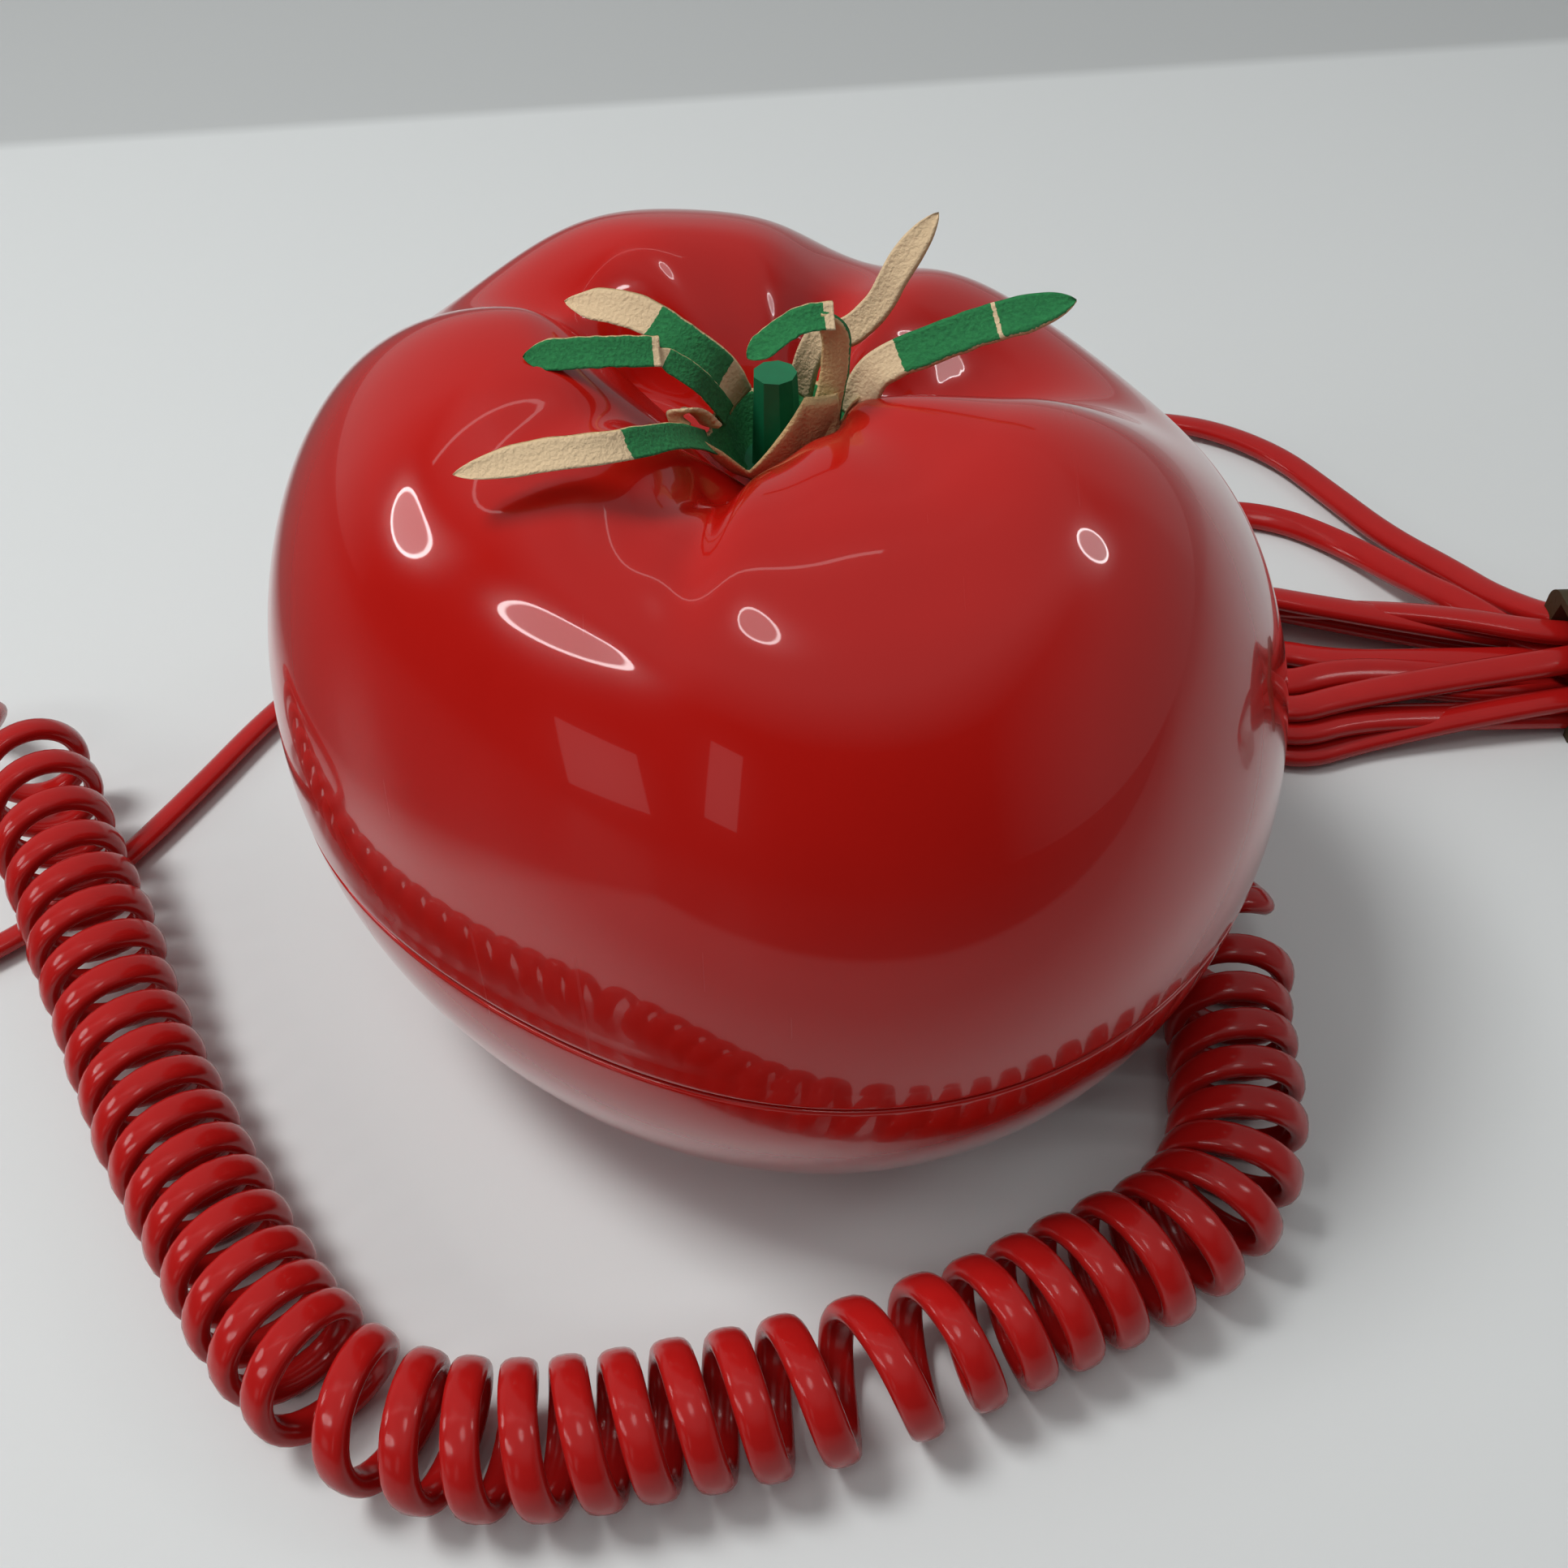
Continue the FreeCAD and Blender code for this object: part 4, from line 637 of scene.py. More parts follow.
def place_ramps(tree, coordinate, table):
    """Axes of a place, and the largest of ramps along them: axis, start, end and height."""
    place = add_node(tree, "TexCoord")
    apart = add_node(tree, "SeparateXYZ")
    tree.links.new(place.outputs[coordinate], apart.inputs["Vector"])
    ramps = []
    for axis, start, full, most in table:
        ends = {"From Min": start, "From Max": full, "To Max": most}
        ramp = add_node(tree, "MapRange", ends)
        tree.links.new(apart.outputs[axis], ramp.inputs["Value"])
        ramps.append(ramp.outputs["Result"])
    return apart, largest(tree, ramps)


def grain_group():
    """Shared group: even grain over an object, as a value and as a bumped normal."""
    found = bpy.data.node_groups.get("Grain")
    if found:
        return found
    group = bpy.data.node_groups.new("Grain", "ShaderNodeTree")
    for name, default in (("Scale", 800.0), ("Strength", 0.1)):
        socket = group.interface.new_socket(name, in_out="INPUT", socket_type="NodeSocketFloat")
        socket.default_value = default
    group.interface.new_socket("Value", in_out="OUTPUT", socket_type="NodeSocketFloat")
    group.interface.new_socket("Normal", in_out="OUTPUT", socket_type="NodeSocketVector")
    links = group.links
    entry = group.nodes.new("NodeGroupInput")
    leave = group.nodes.new("NodeGroupOutput")
    place = add_node(group, "TexCoord")
    cloud = add_node(group, "TexNoise", {"Detail": 4.0})
    bump = add_node(group, "Bump", {"Distance": 0.0004})
    links.new(place.outputs["Object"], cloud.inputs["Vector"])
    links.new(entry.outputs["Scale"], cloud.inputs["Scale"])
    links.new(entry.outputs["Strength"], bump.inputs["Strength"])
    links.new(cloud.outputs["Fac"], bump.inputs["Height"])
    links.new(cloud.outputs["Fac"], leave.inputs["Value"])
    links.new(bump.outputs["Normal"], leave.inputs["Normal"])
    return group


# Scratches: turn and scale of each layer, how much finer they are across, and where the noise shows
SCRATCH_LAYERS = ((0.4, 26.0), (1.7, 34.0), (2.6, 22.0))
SCRATCH_FINENESS = 26
SCRATCH_EDGE = {"From Min": 0.73, "From Max": 0.80}


def scratch_group():
    """Shared group: fine hairlines and specks, as a mask."""
    found = bpy.data.node_groups.get("Scratches")
    if found:
        return found
    group = bpy.data.node_groups.new("Scratches", "ShaderNodeTree")
    group.interface.new_socket("Mask", in_out="OUTPUT", socket_type="NodeSocketFloat")
    links = group.links
    leave = group.nodes.new("NodeGroupOutput")
    place = add_node(group, "TexCoord")
    layers = []
    for turn, scale in SCRATCH_LAYERS:
        inputs = {
            "Rotation": (turn, turn * 0.7, turn * 1.3),
            "Scale": (scale * SCRATCH_FINENESS, scale, scale),
        }
        spin = add_node(group, "Mapping", inputs)
        cloud = add_node(group, "TexNoise", {"Scale": 1.0, "Detail": 2.0})
        edge = add_node(group, "MapRange", SCRATCH_EDGE)
        links.new(place.outputs["Object"], spin.inputs["Vector"])
        links.new(spin.outputs["Vector"], cloud.inputs["Vector"])
        links.new(cloud.outputs["Fac"], edge.inputs["Value"])
        layers.append(edge.outputs["Result"])
    links.new(largest(group, layers), leave.inputs["Mask"])
    return group


# How far the grain varies the roughness, and the least roughness
GLOSS_SPREAD = 0.05
LEAST_ROUGHNESS = 0.02


def grained(
    name,
    colour,
    roughness,
    scale=900.0,
    bump=0.08,
    metallic=0.0,
    coat=0.0,
    spread=0.18,
    specular=0.5,
):
    """Plain material with a little grain in its colour, gloss and surface."""
    material, tree, shader = new_material(name)
    links = tree.links
    inputs = {"Scale": scale, "Strength": bump}
    grain = add_node(tree, "Group", inputs, node_tree=grain_group())
    dim = [c * (1 - spread) for c in colour]
    lit = [min(c * (1 + spread), 1) for c in colour]
    least = max(roughness - GLOSS_SPREAD, LEAST_ROUGHNESS)
    gloss = add_node(tree, "MapRange", {"To Min": least, "To Max": roughness + GLOSS_SPREAD})
    tint = colour_mix(tree, grain.outputs["Value"], dim, lit)
    links.new(grain.outputs["Value"], gloss.inputs["Value"])
    links.new(tint, shader.inputs["Base Color"])
    links.new(gloss.outputs["Result"], shader.inputs["Roughness"])
    links.new(grain.outputs["Normal"], shader.inputs["Normal"])
    shader.inputs["Metallic"].default_value = metallic
    shader.inputs["Coat Weight"].default_value = coat
    shader.inputs["Coat Roughness"].default_value = 0.1
    shader.inputs["Specular IOR Level"].default_value = specular
    return material


# How much rougher the shells are where they are scratched
SCRATCH_DULLS = 0.12


def red_gloss(colour):
    """Glossy red of the shells with fine scratches."""
    material = grained("red_gloss", colour, 0.20, scale=60.0, bump=0.0, spread=0.06, specular=0.25)
    tree = material.node_tree
    shader = tree.nodes["Principled BSDF"]
    marks = add_node(tree, "Group", node_tree=scratch_group())
    dull = add_node(tree, "Math", {1: SCRATCH_DULLS}, operation="MULTIPLY_ADD")
    gloss = shader.inputs["Roughness"].links[0].from_socket
    tree.links.new(marks.outputs["Mask"], dull.inputs[0])
    tree.links.new(gloss, dull.inputs[2])
    tree.links.new(dull.outputs["Value"], shader.inputs["Roughness"])
    shader.inputs["Coat Weight"].default_value = 0.80
    shader.inputs["Coat Roughness"].default_value = 0.03
    return material


class PHONE_OT_shells(bpy.types.Operator):
    """Dome and bowl of the fruit, with their rounded seam"""

    bl_idname = "phone.shells"
    bl_label = "Shells"

    def execute(self, context):
        fruit = context.scene.phone_fruit
        wall = fruit.wall / MM
        rounding = fruit.lip_round / MM
        half_gap = fruit.seam_gap / MM / 2
        material = red_gloss(fruit.colour)
        columns = fruit.columns

        seam = SEAM_HEIGHT + half_gap
        lip = lip_rows(seam, 1, wall, rounding)
        outer_start = lip[0][1]
        inner_start = lip[-1][1]
        count = fruit.rows
        down = outer_start - DIMPLE_END
        rows = [("skin", DIMPLE_END + down * i / count, 0.0) for i in range(count)]
        rows += lip
        count = fruit.rows // 3
        up = DIMPLE_END - inner_start
        rows += [("skin", inner_start + up * (i + 1) / count, wall) for i in range(count)]
        roof = fruit_point(0.0, DIMPLE_END, wall).z
        for height in (roof, CROWN_HEIGHT - DIMPLE_DEPTH):
            rows.append(("ring", STEM_HOLE_RADIUS, height))
        rows.append(rows[0])
        dome = self.skin("dome", columns, rows)
        dress(dome, "red_gloss", material, "handset", ["handset_shell"])

        seam = SEAM_HEIGHT - half_gap
        lip = lip_rows(seam, -1, wall, rounding)
        bowl_rows = fruit.rows // 2
        top = lip[0][1]
        rows = [("disc", share, 0.0) for share in FLOOR_RINGS]
        rows += [("skin", top * i / bowl_rows, 0.0) for i in range(bowl_rows)]
        rows += lip
        inside = lip[-1][1]
        inner_rows = bowl_rows // 2
        rows += [("skin", inside * (1 - (i + 1) / inner_rows), wall) for i in range(inner_rows)]
        rows += [("disc", share, wall) for share in INNER_FLOOR_RINGS]
        bowl = self.skin("bowl", columns, rows)
        self.cut_slots(bowl)
        dress(bowl, "red_gloss", material, "base", ["base_shell"])
        return {"FINISHED"}

    def skin(self, name, columns, rows):
        """Closed skin from profile rows."""

        def place(column, row):
            return row_point(rows[row], 360.0 * (column % columns) / columns)

        return finish_mesh(name, grid_bmesh(columns, len(rows) - 1, place))

    def cut_slots(self, bowl):
        """Cut the sound slots and the ringer's slot through the floor."""
        bm = bmesh.new()
        for width, depth, y in FLOOR_SLOTS:
            size = Matrix.Diagonal((width * MM, depth * MM, SLOT_CUTTER_HEIGHT * MM, 1.0))
            bmesh.ops.create_cube(bm, size=1.0, matrix=Matrix.Translation((0, y * MM, 0)) @ size)
        cutter = finish_mesh("slots", bm)
        change = bowl.modifiers.new("slots", "BOOLEAN")
        change.operation = "DIFFERENCE"
        change.solver = "EXACT"
        change.object = cutter
        graph = bpy.context.evaluated_depsgraph_get()
        mesh = bpy.data.meshes.new_from_object(bowl.evaluated_get(graph))
        bowl.modifiers.clear()
        bowl.data = mesh
        bpy.data.objects.remove(cutter)


class PHONE_OT_curly_cord(bpy.types.Operator):
    """Curly cord between base and handset"""

    bl_idname = "phone.curly_cord"
    bl_label = "Curly cord"

    def execute(self, context):
        cords = context.scene.phone_cords
        tail, rise = BASE_EXIT + BASE_TAIL_ROUTE, HANDSET_TAIL_ROUTE + HANDSET_EXIT
        line = Line("curly line", tail + COIL_ROUTE + rise)
        begin = line.nearest(COIL_ROUTE[0]) + COIL_LATE_START * MM
        end = line.nearest(COIL_ROUTE[-1]) + COIL_LATE_END * MM
        per_turn = 30
        tail_step = 0.0005
        places = [tail_step * i for i in range(int(begin / tail_step))]
        count = cords.turns * per_turn
        turned = self.turned(count)
        places += [begin + (end - begin) * i / count for i in range(count)]
        left = int((line.length - end) / tail_step)
        places += [end + (line.length - end) * i / left for i in range(left + 1)]
        middle = [line.at(s) for s in places]
        tangents, normals = carried_normals(middle)
        ease = 0.009
        strand = []
        thin = []
        for s, point, tangent, normal in zip(places, middle, tangents, normals):
            share = min(max((s - begin) / (end - begin), 0.0), 1.0)
            inside = smooth((s - begin + ease) / (2 * ease)) * smooth((end + ease - s) / (2 * ease))
            angle = 2 * math.pi * cords.turns * turned[round(share * count)]
            side = tangent.cross(normal)
            out = normal * math.cos(angle) + side * math.sin(angle)
            size = 1 + COIL_RADIUS_SPREAD * noise.noise(Vector((share * 30, 0.3, 0.7)))
            strand.append(point + out * (cords.coil_radius * inside * size))
            thin.append(out)
        cord = oval_tube("curly_cord", strand, thin, cords.strand_width, cords.strand_thick)
        dress(cord, "cord_red", cord_red(cords.colour))
        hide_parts("curly_cord_base_tail", "curly_cord_coil", "curly_cord_handset_tail")
        length = sum((b - a).length for a, b in zip(strand, strand[1:]))
        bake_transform(cord)
        [c * MM for c in BASE_EXIT[0]]
        return {"FINISHED"}

    def turned(self, count):
        """Share of the coil's turns that is wound at each step along it."""
        total = [0.0]
        for step in range(count):
            share = (step + 0.5) / count
            loss = 0.0
            for middle, spread, part in LOOSE_TURNS:
                loss += part * math.exp(-(((share - middle) / spread) ** 2))
            rate = 1.0 - loss + COIL_PITCH_SPREAD * noise.noise(Vector((share * 25, 4.2, 1.3)))
            total.append(total[-1] + rate * smooth(min(step + 1, count - step) / COIL_WIND_IN))
        return [value / total[-1] for value in total]


def cord_red(colour):
    """Red jacket of both cords."""
    name = "cord_jacket"
    found = bpy.data.materials.get(name)
    return found or grained(name, colour, 0.17, scale=220.0, bump=0.01, spread=0.08, specular=0.4)


def bight(side, tip, y_in, z_in, y_out, z_out):
    """Points of one rounded fold of the hank; side is 1 at its right end and -1 at its left."""
    swell = math.copysign(BIGHT_SWELL, y_in - y_out)
    middle = (y_in + y_out) / 2
    quarter = (y_in - y_out) / 4 + swell / 2
    sink = (z_out - z_in) / 3
    shoulder = tip - side * BIGHT_SHOULDER
    start = tip - side * BIGHT_REACH
    return [
        (start, y_in, z_in),
        (shoulder, y_in + swell, z_in),
        (tip, middle + quarter, z_in + sink),
        (tip, middle - quarter, z_out - sink),
        (shoulder, y_out - swell, z_out),
        (start, y_out, z_out),
    ]


def hank_route():
    """Route of the line cord from the base through its hank to the plug."""
    route = [*LINE_EXIT, *LINE_LEAD_ROUTE]
    folds = []
    for right, left in zip(RIGHT_BIGHTS, LEFT_BIGHTS):
        folds += [(1, right), (-1, left)]
    for (side, fold), here, there in zip(folds, WAIST_PLACES, WAIST_PLACES[1:]):
        route.append((HANK_WAIST_X, *here))
        if fold is None:
            route += LOOP_ROUTE
            continue
        _, y_in, z_in, y_out, z_out = fold
        gather = HANK_WAIST_X + side * WAIST_REACH
        route.append((gather, (here[0] + y_in) / 2, (here[1] + z_in) / 2))
        route += bight(side, *fold)
        route.append((gather, (there[0] + y_out) / 2, (there[1] + z_out) / 2))
    route.append((HANK_WAIST_X, *WAIST_PLACES[-1]))
    return [*route, *LINE_END_ROUTE, PLUG_BACK]


class PHONE_OT_line_cord(bpy.types.Operator):
    """Line cord with its tied hank"""

    bl_idname = "phone.line_cord"
    bl_label = "Line cord"

    def execute(self, context):
        cords = context.scene.phone_cords
        line = Line("line line", hank_route())
        count = int(line.length / LINE_STEP)
        points = [line.at(line.length * i / count) for i in range(count + 1)]
        tangents, normals = carried_normals(points)
        thin = []
        for index, (tangent, normal) in enumerate(zip(tangents, normals)):
            angle = LINE_TWIST * noise.noise(Vector((index * LINE_TWIST_PACE, 2.1, 0.4)))
            thin.append(normal * math.cos(angle) + tangent.cross(normal) * math.sin(angle))
        cord = oval_tube("line_cord", points, thin, cords.line_width, cords.line_thick)
        dress(cord, "cord_red", cord_red(cords.colour), "base")
        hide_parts("line_cord_lead", "line_cord_loop", "line_cord_hank", "line_cord_end")
        [c * MM for c in LINE_EXIT[0]]
        return {"FINISHED"}


# Rim of the calyx's cup: azimuth, radius and height
CUP_RIM = (
    (-180, 6.5, 81.0),
    (-130, 6.6, 83.0),
    (-100, 6.4, 86.0),
    (-84, 6.2, 85.0),
    (-64, 6.4, 86.0),
    (-55, 8.0, 84.0),
    (-44, 10.6, 85.3),
    (-36, 9.0, 83.5),
    (-25, 6.7, 80.2),
    (0, 6.0, 83.8),
    (29, 5.8, 88.0),
    (57, 7.3, 87.7),
    (61, 7.2, 83.0),
    (66, 8.2, 84.0),
    (72, 9.0, 86.5),
    (84, 8.6, 86.5),
    (98, 7.6, 82.5),
    (112, 8.0, 87.0),
    (124, 8.4, 88.5),
    (140, 7.0, 83.0),
    (180, 6.5, 81.0),
)
# How far the cup stays off the skin
CUP_CLEARANCE = 0.3
# Ribbons: points, width, direction of the flocked face, and shares along it with their flock
RIBBONS = (
    (
        (
            (-6.6, -6.0, 83.6),
            (-8.5, -11.1, 88.2),
            (-11.9, -17.0, 91.5),
            (-15.5, -19.4, 92.5),
            (-21.7, -19.7, 92.1),
            (-28.6, -19.7, 90.3),
        ),
        3.2,
        (0.1, -0.6, 0.8),
        ((0.50, 1.0), (1.0, 0.0)),
    ),
    (
        ((-4.8, -1.8, 84.0), (-6.5, -3.8, 88.5), (-9.0, -4.2, 91.0), (-11.6, -3.8, 92.6)),
        2.6,
        (0.6, -0.6, 0.5),
        ((0.86, 1.0), (1.0, 0.0)),
    ),
    (
        ((-10.8, -4.0, 92.5), (-14.8, -4.9, 93.2), (-18.6, -5.0, 93.2), (-23.5, -5.3, 93.0)),
        3.3,
        (0, -0.6, 0.8),
        ((0.05, 0.0), (1.0, 1.0)),
    ),
    (
        (
            (-3.6, 0.8, 84.0),
            (-4.6, -0.8, 88.2),
            (-8.1, -1.2, 91.3),
            (-12.0, 1.3, 93.2),
            (-15.9, 2.5, 93.8),
            (-20.2, 3.8, 93.4),
        ),
        3.8,
        (0.1, -0.6, 0.8),
        ((0.2, 0.0), (0.58, 1.0), (1.0, 0.0)),
    ),
    (
        (
            (2.5, 4.5, 82.1),
            (3.3, 3.6, 86.9),
            (4.7, 3.0, 89.8),
            (7.3, 3.2, 89.6),
            (10.4, 3.4, 92.3),
            (12.2, 4.4, 96.4),
            (16.0, 7.0, 100.1),
        ),
        2.9,
        (-0.4, -0.8, 0.4),
        ((1.0, 0.0),),
    ),
    (
        (
            (4.6, -3.4, 82.0),
            (5.4, -3.4, 87.0),
            (6.0, -3.0, 92.0),
            (5.4, -3.8, 95.4),
            (3.8, -4.1, 96.0),
        ),
        2.8,
        (0.2, 0.9, 0.4),
        ((1.0, 1.0),),
    ),
    (
        ((5.6, -4.0, 95.9), (2.8, -4.3, 96.0), (0.5, -4.9, 94.8), (-2.5, -6.3, 93.0)),
        3.0,
        (-0.3, -0.6, 0.75),
        ((0.1, 0.0), (1.0, 1.0)),
    ),
    (
        (
            (7.4, -2.6, 84.0),
            (9.0, -2.8, 88.4),
            (11.0, -2.5, 90.0),
            (16.0, -2.0, 91.7),
            (21.0, -1.1, 93.2),
            (28.6, -1.1, 95.2),
        ),
        3.8,
        (-0.2, -0.6, 0.8),
        ((0.32, 0.0), (0.69, 1.0), (0.71, 0.0), (1.0, 1.0)),
    ),
    (
        ((-6.4, -4.6, 84.6), (-7.6, -5.4, 87.2), (-9.4, -6.6, 87.4), (-9.6, -6.8, 85.6)),
        2.6,
        (0.3, 0.6, 0.6),
        ((1.0, 0.0),),
    ),
)
# Share along a ribbon where its tip starts, how ragged its edges are and how much it curls
TIP_START = 0.78
RAGGEDNESS = 0.08
CURL = 0.06
# Grain of the flock, and the value of paint and grain where it starts and is full
FLOCK_GRAIN = {"Scale": 2600.0, "Strength": 0.6}
FLOCK_EDGE = {"From Min": 0.95, "From Max": 1.05}


def rim_at(azimuth):
    """Radius and height of the cup's rim at an azimuth."""
    for (a0, r0, z0), (a1, r1, z1) in zip(CUP_RIM, CUP_RIM[1:]):
        if a0 <= azimuth <= a1:
            share = (azimuth - a0) / (a1 - a0)
            return r0 + (r1 - r0) * share, z0 + (z1 - z0) * share
    raise ValueError("azimuth outside the rim's table")


def skin_height(azimuth, radius):
    """Height of the crown's skin at a radius in millimetres."""

    def beyond(t):
        point = fruit_point(azimuth, t)
        return math.hypot(point.x, point.y) > radius

    return fruit_point(azimuth, bisect_share(BOWL_END, DIMPLE_END, beyond, 30)).z


class PHONE_OT_calyx(bpy.types.Operator):
    """Worn, flocked paper leaves round the stem"""

    bl_idname = "phone.calyx"
    bl_label = "Calyx"

    def execute(self, context):
        calyx = context.scene.phone_calyx
        material = self.paper(calyx)
        pieces = [self.ribbon(index, ribbon, calyx.thick) for index, ribbon in enumerate(RIBBONS)]
        pieces.append(self.cup(calyx.thick))
        bm = bmesh.new()
        for piece in pieces:
            bm.from_mesh(piece.data)
            bpy.data.objects.remove(piece)
        leaves = finish_mesh("calyx_leaves", bm)
        dress(leaves, "flock_paper", material, "handset", ["calyx"])
        return {"FINISHED"}

    def ribbon(self, index, ribbon, thick):
        """One bent strip with a blunt tip; its paint holds flock and backing."""
        route, width, face, zones = ribbon
        line = Line("ribbon", route)
        steps = 64
        points = [line.at(line.length * i / steps) for i in range(steps + 1)]
        tangents, normals = carried_each(points, [Vector(face)] * (steps + 1))
        sides = 10
        columns = 2 * sides

        def place(column, row):
            column %= columns
            share = row / steps
            across = column / sides if column <= sides else 2 - column / sides
            past = max((share - TIP_START) / (1 - TIP_START), 0.0)
            taper = max(1 - past**2, 0.0004) ** 0.75
            rough = noise.noise(Vector((share * 12, index * 3.1, across * 0.8)))
            half = width * MM / 2 * taper * (1 + RAGGEDNESS * rough)
            side = tangents[row].cross(normals[row])
            curl = CURL * width * MM * (2 * across - 1) ** 2
            lift = thick / 2 if column < sides else -thick / 2
            return points[row] + side * (half * (2 * across - 1)) + normals[row] * (lift + curl)

        def tint(column, row):
            if column % columns >= sides:
                return (0.0, 1.0, 0.0, 1.0)
            flock = next(f for end, f in zones if row / steps <= end)
            return (flock, 0.0, 0.0, 1.0)

        bm = grid_bmesh(columns, steps, place, tint)
        bmesh.ops.holes_fill(bm, edges=[e for e in bm.edges if e.is_boundary], sides=0)
        return finish_mesh("ribbon", bm)

    def cup(self, thick):
        """Folded cup of the paper round the stem, high at the leaves and low between them."""
        columns, rows = 180, 10
        foot_radius, foot_height = 2.6, 76.9

        def place(column, row):
            azimuth = 360.0 * (column % columns) / columns - 180.0
            loop = row % (2 * rows)
            share = loop / rows if loop <= rows else 2 - loop / rows
            radius, top = rim_at(azimuth)
            reach = foot_radius + (radius - foot_radius) * share**0.8
            height = foot_height + (top - foot_height) * share**1.3
            clearance = CUP_CLEARANCE
            if loop > rows:
                reach += thick / MM
            else:
                clearance += thick / MM
            height = max(height, skin_height(azimuth, reach) + clearance)
            phi = math.radians(azimuth)
            return Vector((reach * math.sin(phi), -reach * math.cos(phi), height)) * MM

        def tint(column, row):
            inner = row % (2 * rows) < rows
            return (1.0 if inner else 0.0, 0.0 if inner else 1.0, 1.0, 1.0)

        return finish_mesh("cup", grid_bmesh(columns, 2 * rows, place, tint))

    def paper(self, calyx):
        """Green flock worn through to bare paper, with a smooth tan back."""
        material, tree, shader = new_material("flock_paper")
        links = tree.links
        paint = add_node(tree, "VertexColor", layer_name="paint")
        parts = add_node(tree, "SeparateColor")
        links.new(paint.outputs["Color"], parts.inputs["Color"])
        grain = add_node(tree, "Group", FLOCK_GRAIN, node_tree=grain_group())
        worn = add_node(tree, "Math", operation="ADD")
        links.new(parts.outputs["Red"], worn.inputs[0])
        links.new(grain.outputs["Value"], worn.inputs[1])
        edge = add_node(tree, "MapRange", FLOCK_EDGE)
        links.new(worn.outputs["Value"], edge.inputs["Value"])
        flock = colour_mix(tree, grain.outputs["Value"], calyx.dark, calyx.green)
        bare = colour_mix(tree, parts.outputs["Green"], calyx.cream, calyx.tan)
        colour = colour_mix(tree, edge.outputs["Result"], bare, flock)
        links.new(colour, shader.inputs["Base Color"])
        links.new(grain.outputs["Normal"], shader.inputs["Normal"])
        shader.inputs["Roughness"].default_value = 0.85
        return material


# Finish of each slot that keeps its solid shape: colour, roughness and what else differs
FINISHES = {
    "red_satin": ((0.36, 0.012, 0.008), 0.34, {"bump": 0.05}),
    "steel": ((0.55, 0.55, 0.56), 0.28, {"scale": 1500, "metallic": 1.0}),
    "weight_iron": ((0.12, 0.12, 0.12), 0.6, {"metallic": 0.8, "bump": 0.3}),
    "foam_black": ((0.012, 0.012, 0.012), 0.95, {"scale": 2500, "bump": 0.6}),
    "capsule_dark": ((0.02, 0.02, 0.022), 0.5, {}),
    "capsule_metal": ((0.6, 0.6, 0.6), 0.3, {"metallic": 1.0}),
    "black_rubber": ((0.014, 0.014, 0.014), 0.75, {"bump": 0.15}),
    "grey_rubber": ((0.11, 0.115, 0.115), 0.7, {"bump": 0.1}),
    "ivory_plastic": ((0.72, 0.66, 0.53), 0.38, {"bump": 0.05, "spread": 0.05}),
    "black_plastic": ((0.016, 0.016, 0.016), 0.4, {}),
    "lead_red": ((0.25, 0.015, 0.012), 0.5, {}),
    "red_rubber": ((0.30, 0.012, 0.011), 0.5, {"bump": 0.1}),
    "board": ((0.02, 0.08, 0.03), 0.45, {}),
    "tie_brown": ((0.045, 0.032, 0.012), 0.6, {"bump": 0.3}),
    "plug_clear": ((0.80, 0.81, 0.78), 0.10, {"bump": 0.0, "coat": 0.5, "spread": 0.02}),
}


class PHONE_OT_fittings(bpy.types.Operator):
    """Materials of the pieces that keep their solid shape"""

    bl_idname = "phone.fittings"
    bl_label = "Fittings"

    def execute(self, context):
        stem = context.scene.phone_calyx.stem
        finishes = {"stem_green": grained("stem_green", stem, 0.45, scale=700, bump=0.12)}
        for name, (colour, roughness, more) in FINISHES.items():
            finishes[name] = grained(name, colour, roughness, **more)
        clear = finishes["plug_clear"].node_tree.nodes["Principled BSDF"]
        clear.inputs["Transmission Weight"].default_value = 0.7
        clear.inputs["IOR"].default_value = 1.58
        for node, obj in NODES.items():
            finish = finishes.get(SLOT_OF[node])
            if finish and not obj.hide_render:
                dress(obj, SLOT_OF[node], finish)
        return {"FINISHED"}


# Marks on the keys: node, main mark and small letters
KEY_MARKS = (
    ("key_1", "1", ""),
    ("key_2", "2", "ABC"),
    ("key_3", "3", "DEF"),
    ("key_4", "4", "GHI"),
    ("key_5", "5", "JKL"),
    ("key_6", "6", "MNO"),
    ("key_7", "7", "PRS"),
    ("key_8", "8", "TUV"),
    ("key_9", "9", "WXY"),
    ("key_star", "*", ""),
    ("key_0", "0", "OPER"),
    ("key_hash", "#", ""),
)
# Form of the keys: radius of the dish in their top, and the flange round them
KEY_DISH_RADIUS = 22.0
KEY_FLANGE = 1.0
# Sizes and places of the marks as shares of the key's width; letters are a share of the figure
FIGURE_SIZE = 0.42
LETTERS_SIZE = 0.40
FIGURE_ALONE = -0.08
FIGURE_OVER_LETTERS = 0.06
LETTERS_DOWN = -0.26
# The print: how far it lies over the key, half its thickness, and its longest plain edge
PRINT_LIFT = 0.03
PRINT_HALF = 0.02
PRINT_EDGE = 0.6


